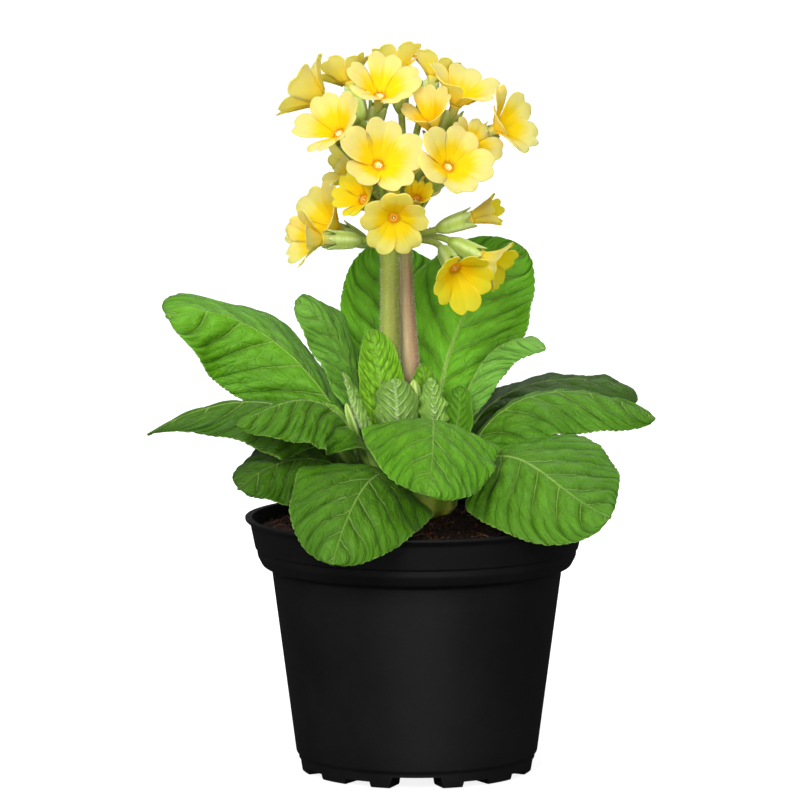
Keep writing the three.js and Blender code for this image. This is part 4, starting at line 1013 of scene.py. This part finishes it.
# Height, then half its width inside and outside the foot ring, each below and above.
TALL_NOTCH = (4.0, (6.0, 5.2), (11.0, 9.2))
LOW_NOTCH = (2.0, (5.0, 4.5), (5.6, 4.9))
DRAIN_HOLE, DRAIN_MIDDLE = [(2.2, 1.0), (2.2, 9.0)], 36.0
SOIL_WALL = [(54.3, 76.9), (52.7, 74.9), (49.1, 72.6), (39, 5.6), (0.3, 5.6)]
SOIL_EDGE, SOIL_SIDES, SOIL_STEPS = 55.9, 230, 62
SOIL_RADII, SOIL_HEIGHTS = [0, 16, 26, 38, 49, 53, 55.9], [90, 89.8, 88.8, 87.6, 86.2, 85.4, 84.5]
SOCKET_RADIUS, SOCKET_FLOOR = 13.4, 82.2
CRUMBS, CRUMB_REACH, SHREDS, SHRED_REACH = 520, 54.5, 230, 53
CROWN_SIDES, CROWN_STEPS, CROWN_FOOT, CROWN_TOP = 96, 34, 83, 109.2
SOIL_SEED, CROWN_SEED, BUD_SEED, FLOWER_SEED = 90, 91, 81, 299


def eased(profile, size):
    """The profile with each corner cut to a small round of four points."""
    profile = np.array(profile, float)
    made = [profile[0]]
    for before, corner, after in zip(profile, profile[1:], profile[2:]):
        one, two = before - corner, after - corner
        reach = min(size, 0.45 * np.linalg.norm(one), 0.45 * np.linalg.norm(two))
        start, end = corner + unit(one) * reach, corner + unit(two) * reach
        for t in (0, 0.33, 0.67, 1):
            made.append((1 - t) ** 2 * start + 2 * t * (1 - t) * corner + t * t * end)
    return [*made, profile[-1]]


def apply_cut(target, cutter):
    """Cuts shells out of a piece."""
    tool = bpy.data.objects.new("cutter", cutter.mesh("cutter", rounded=False))
    bpy.context.scene.collection.objects.link(tool)
    cut = target.modifiers.new("cut", "BOOLEAN")
    cut.operation, cut.solver, cut.object = "DIFFERENCE", "EXACT", tool
    bpy.context.view_layer.update()
    shaped = bpy.data.meshes.new_from_object(target.evaluated_get(bpy.context.evaluated_depsgraph_get()))
    target.modifiers.clear()
    target.data = shaped
    bpy.data.objects.remove(tool)


def make_pot(material):
    outside = eased(POT_OUTSIDE, 0.7)
    profile = []
    # The long plain wall has rings between its ends.
    for low, high in zip(outside, outside[1:]):
        steps = 10 if high[1] - low[1] > 20 else 1
        profile += [blend(low, high, step / steps) for step in range(steps)]
    body = Body()
    body.rings(turned([*profile, outside[-1], *eased(POT_INSIDE, 0.5)], POT_SIDES))
    made = body.piece("pot", material)
    # Notches in the ring it stands on, and the holes that drain the floor.
    notches, holes = Body(), Body()
    for i, turn in enumerate(round_angles(NOTCHES)):
        height, *halves = LOW_NOTCH if i % 3 else TALL_NOTCH
        c, s = math.cos(turn), math.sin(turn)
        rotate = np.array([[c, s, 0], [-s, c, 0], [0, 0, 1]])
        ends = [
            [(-low, -far, -1), (low, -far, -1), (high, -far, height), (-high, -far, height)]
            for far, (low, high) in zip((NOTCH_INSIDE, NOTCH_OUTSIDE), halves)
        ]
        notches.rings(np.array(ends) @ rotate)
        if i % 2 == 0:
            holes.rings(turned(DRAIN_HOLE, 24) + np.array([0, -DRAIN_MIDDLE, 0]) @ rotate)
    apply_cut(made, notches)
    apply_cut(made, holes)
    made.data.set_sharp_from_angle(angle=math.radians(38))


def pot_look():
    look = Look("pot_plastic", Specular_IOR_Level=0.19)
    spot = look.position()
    grain, cloud = look.noise(spot, 2600.0), look.noise(spot, 30.0, 4.0, 0.6)
    colour = look.mix(look.band(cloud, 0.3, 0.7), (0.0026, 0.0026, 0.0027), (0.004, 0.004, 0.0041))
    dust = look.mul(look.band(look.noise(spot, 420.0, 3.0, 0.7), 0.62, 0.8), look.band(cloud, 0.45, 0.7))
    colour = look.mix(look.mul(dust, 0.3), colour, (0.025, 0.0235, 0.0215))
    rough = look.band(look.plus(look.mul(cloud, 0.7), look.mul(grain, 0.3)), 0.35, 0.65, 0.54, 0.63)
    return look.finish(colour, rough, grain, 0.00008, 0.5)


def soil_top(x, y):
    radius = np.hypot(x, y)
    lumps = 0.9 * noise(x / 7, y / 7, 5) + 0.6 * noise(x / 3, y / 3, 6) + 0.42 * noise(x / 1.5, y / 1.5, 7)
    return np.interp(radius, SOIL_RADII, SOIL_HEIGHTS) + lumps * smooth((56.5 - radius) / 4)


def scattered(rng, radius):
    """A place on the soil, outside the crown."""
    turn, far = rng.uniform(0, TURN), radius * math.sqrt(rng.uniform(0.08, 1))
    return far * math.cos(turn), far * math.sin(turn)


def add_crumb(body, rng):
    x, y = scattered(rng, CRUMB_REACH)
    size = rng.uniform(0.35, 1.3) * rng.uniform(0.6, 1)
    shape = turned([(0.45, -0.8), (0.95, -0.3), (0.9, 0.35), (0.4, 0.8)], 7)
    shape = shape * (1 + rng.uniform(-0.25, 0.25, (4, 7, 1)))
    lean = turn_to(rng.normal(0, 1, 3) + (0, 0, 1.2))
    shape = (shape * size * rng.uniform(0.6, 1.2, 3)) @ lean.T
    shade = blend(linear("1d0f0a"), linear("56301f"), rng.uniform(0, 1))
    body.rings(shape + np.array([x, y, soil_top(x, y) + size * 0.25]), tint=shade)


def add_shred(body, rng):
    """A curved shred of coir, which ends at the pot's wall."""
    x, y = scattered(rng, SHRED_REACH)
    heading, bend, length = rng.uniform(0, 6.3), rng.normal(0, 0.22), rng.uniform(2.5, 8)
    steps, line = 6, []
    for k in range(steps + 1):
        if math.hypot(x, y) < 55.2:
            line.append((x, y, soil_top(x, y) + 0.12 + 0.35 * math.sin(k * math.pi / steps)))
        heading += bend
        x, y = x + length / steps * math.cos(heading), y + length / steps * math.sin(heading)
    if len(line) > 3:
        shade = blend(linear("4a2616"), linear("a8734c"), rng.uniform(0, 1) ** 1.6)
        tube(body, line, rng.uniform(0.07, 0.17), 4, shade)


def make_soil(material):
    """One block round the crown's foot, with crumbs of peat and shreds of coir on it."""
    rng = np.random.default_rng(SOIL_SEED)
    body = Body()
    angle = round_angles(SOIL_SIDES)
    edge = np.stack([np.cos(angle), np.sin(angle)], -1)
    inner = edge * (SOCKET_RADIUS, SOCKET_RADIUS / CROWN_FLATTEN)
    levels = [(CROWN_MIDDLE + inner * share, SOCKET_FLOOR) for share in (0.3, 1.0)]
    for t in np.linspace(0, 1, SOIL_STEPS) ** 1.1:
        flat = blend(CROWN_MIDDLE + inner, edge * SOIL_EDGE, t)
        levels.append((flat, soil_top(*flat.T)))
    levels += [(edge * radius, z) for radius, z in SOIL_WALL]
    rings = [np.column_stack([flat, np.broadcast_to(z, SOIL_SIDES)]) for flat, z in levels]
    body.rings(np.array(rings[::-1]), tint=linear("2c1812"))
    for _ in range(CRUMBS):
        add_crumb(body, rng)
    for _ in range(SHREDS):
        add_shred(body, rng)
    body.piece("soil", material)


def soil_look():
    look = Look("soil_surface", Specular_IOR_Level=0.25)
    tint, spot = look.attribute("tint", "Color"), look.position()
    crumb, clod = look.voronoi(spot, 620.0, "F1"), look.noise(spot, 240.0, 4.0, 0.7)
    colour = look.mix(look.band(clod, 0.3, 0.7), look.times(tint, (0.35, 0.33, 0.33)), tint)
    bits = look.mul(look.fall(crumb, 0.08, 0.3), look.band(look.noise(spot, 130.0), 0.5, 0.62))
    colour = look.mix(bits, colour, (0.14, 0.07, 0.04))
    height = look.plus(look.mul(crumb, -1.0), look.mul(clod, 2.0))
    return look.finish(colour, look.band(clod, 0.3, 0.7, 0.8, 0.98), height, 0.0009, 1.0)


def make_crown(material):
    """The rootstock, whose sheathing bases of old leaves stand out as broad upright ribs."""
    body = Body()
    angle, z = round_angles(CROWN_SIDES), np.linspace(CROWN_FOOT, CROWN_TOP, CROWN_STEPS)[:, None]
    rib = np.cos(11 * angle + 0.8 * np.sin(3 * angle))
    wall = crown_radius(z) * (1 + 0.035 * rib + 0.02 * noise(angle * 5, z / 3, CROWN_SEED)) - 0.35
    uneven = 0.4 * noise(angle * 3, z / 4, CROWN_SEED + 1) * (z < 108)
    rings = ring(wall, angle, z + uneven)
    rings = rings / (1, CROWN_FLATTEN, 1) + (*CROWN_MIDDLE, 0)
    streaks = smooth(0.5 + 0.5 * rib)[:, None]
    low, high = (
        blend(linear(dark), linear(light), streaks)
        for dark, light in (("433d10", "8a7f18"), ("5f7f1c", "8aa03c"))
    )
    body.rings(rings, tint=blend(low, high, smooth((z - 85) / 14)[..., None]))
    made = body.piece("crown", material)
    sockets = Body()
    for umbel in UMBELS.values():
        radius = umbel.radii[0] + 0.6
        sockets.rings(turned([(radius, -0.3), (radius, 20)], 32) + umbel.foot)
    apply_cut(made, sockets)


# Floor, light and camera
PLANT_MIDDLE = (0.0, 0.0, 0.14)
TILT, DISTANCE = math.radians(8.0), 1.5
# Place, width and watts of each lamp.
LAMPS = {
    "key": ((-0.4, -1.35, 0.85), 0.6, 18.5),
    "fill": ((0.25, -1.6, 0.14), 0.7, 17.0),
    "left": ((-1.25, -0.6, 0.75), 0.5, 4.8),
    "right": ((1.25, -0.6, 0.75), 0.5, 3.0),
    "top": ((-0.2, -0.45, 1.35), 0.8, 4.0),
    "back": ((0.15, 0.75, 1.3), 0.9, 4.5),
}


def make_floor():
    """A white card, lit so that it stays white to its edge, which throws little light back up."""
    mesh = bpy.data.meshes.new("floor")
    size, level = 6.0, -0.0004
    corners = [(x * size, y * size, level) for x, y in ((-1, -1), (1, -1), (1, 1), (-1, 1))]
    mesh.from_pydata(corners, [], [(0, 1, 2, 3)])
    floor = bpy.data.objects.new("floor", mesh)
    bpy.context.scene.collection.objects.link(floor)
    look = Look("floor_surface", Roughness=0.9, Specular_IOR_Level=0.0, Emission_Color=(1, 1, 1))
    seen, spot = look.node("LightPath", out="Is Camera Ray"), look.position()
    away = look.node("VectorMath", {0: spot}, "Value", operation="LENGTH")
    look.put(look.sockets["Emission Strength"], look.mul(seen, look.band(away, 0.07, 0.4, 0.86, 1.1)))
    pale = look.mix(look.noise(spot, 2.0), (0.3, 0.3, 0.3), (0.33, 0.33, 0.33))
    mesh.materials.append(look.finish(look.mix(seen, (0.06, 0.06, 0.06), pale)))


def make_lamp(name, place, size, power):
    light = bpy.data.lights.new(name, "AREA")
    light.shape, light.size, light.energy = "DISK", size, power
    lamp = bpy.data.objects.new(name, light)
    lamp.location = place
    away = unit(np.array(place) - PLANT_MIDDLE)
    lamp.rotation_euler = (math.acos(away[2]), 0.0, math.atan2(away[0], -away[1]))
    bpy.context.scene.collection.objects.link(lamp)


def make_camera():
    """In front of the pot's axis, level with its rim before the tilt; the shift frames the photograph."""
    data = bpy.data.cameras.new("camera")
    data.sensor_width, data.lens = 36.0, 193.05
    data.shift_x, data.shift_y = -0.021, 0.14475
    data.clip_start, data.clip_end = 0.05, 40.0
    camera = bpy.data.objects.new("camera", data)
    rise = POT_HEIGHT * MM + DISTANCE * math.sin(TILT)
    camera.location = (POT_AXIS[0] * MM, -DISTANCE * math.cos(TILT), rise)
    camera.rotation_euler = (math.radians(90.0) - TILT, 0.0, 0.0)
    bpy.context.scene.collection.objects.link(camera)
    bpy.context.scene.camera = camera


def make_world():
    """White behind the plant; for the light on it, bright overhead and dim at the horizon."""
    world = bpy.data.worlds.new("studio")
    world.use_nodes = True
    sky = Nodes(world.node_tree)
    rise = sky.parts(sky.node("TexCoord", out="Generated"))[2]
    cast = sky.node("Background", {"Strength": sky.band(rise, 0.0, 0.7, 0.09, 0.52)})
    seen = sky.tree.nodes["Background"]
    sky.put(seen.inputs["Color"], (1, 1, 1))
    sky.put(seen.inputs["Strength"], 1.1)
    ray = sky.node("LightPath", out="Is Camera Ray")
    both = sky.node("MixShader", {0: ray, 1: cast, 2: seen.outputs[0]})
    sky.put(sky.tree.nodes["World Output"].inputs["Surface"], both)
    bpy.context.scene.world = world


make_leaves()
petal_material, stem_material = petal_look(), stem_look()
for number, row in enumerate(FLOWERS, 1):
    make_flower(f"flower_{number:02d}", row, FLOWER_SEED + number, petal_material)
for side, row in UMBELS.items():
    make_umbel(side, row, stem_material)
for number, row in enumerate(BUDS):
    make_bud(row, BUD_SEED + number, stem_material)
make_pot(pot_look())
make_soil(soil_look())
make_crown(stem_material)
make_floor()
make_world()
make_camera()
for name, settings in LAMPS.items():
    make_lamp(name, *settings)
bpy.context.scene.view_settings.view_transform = "Standard"
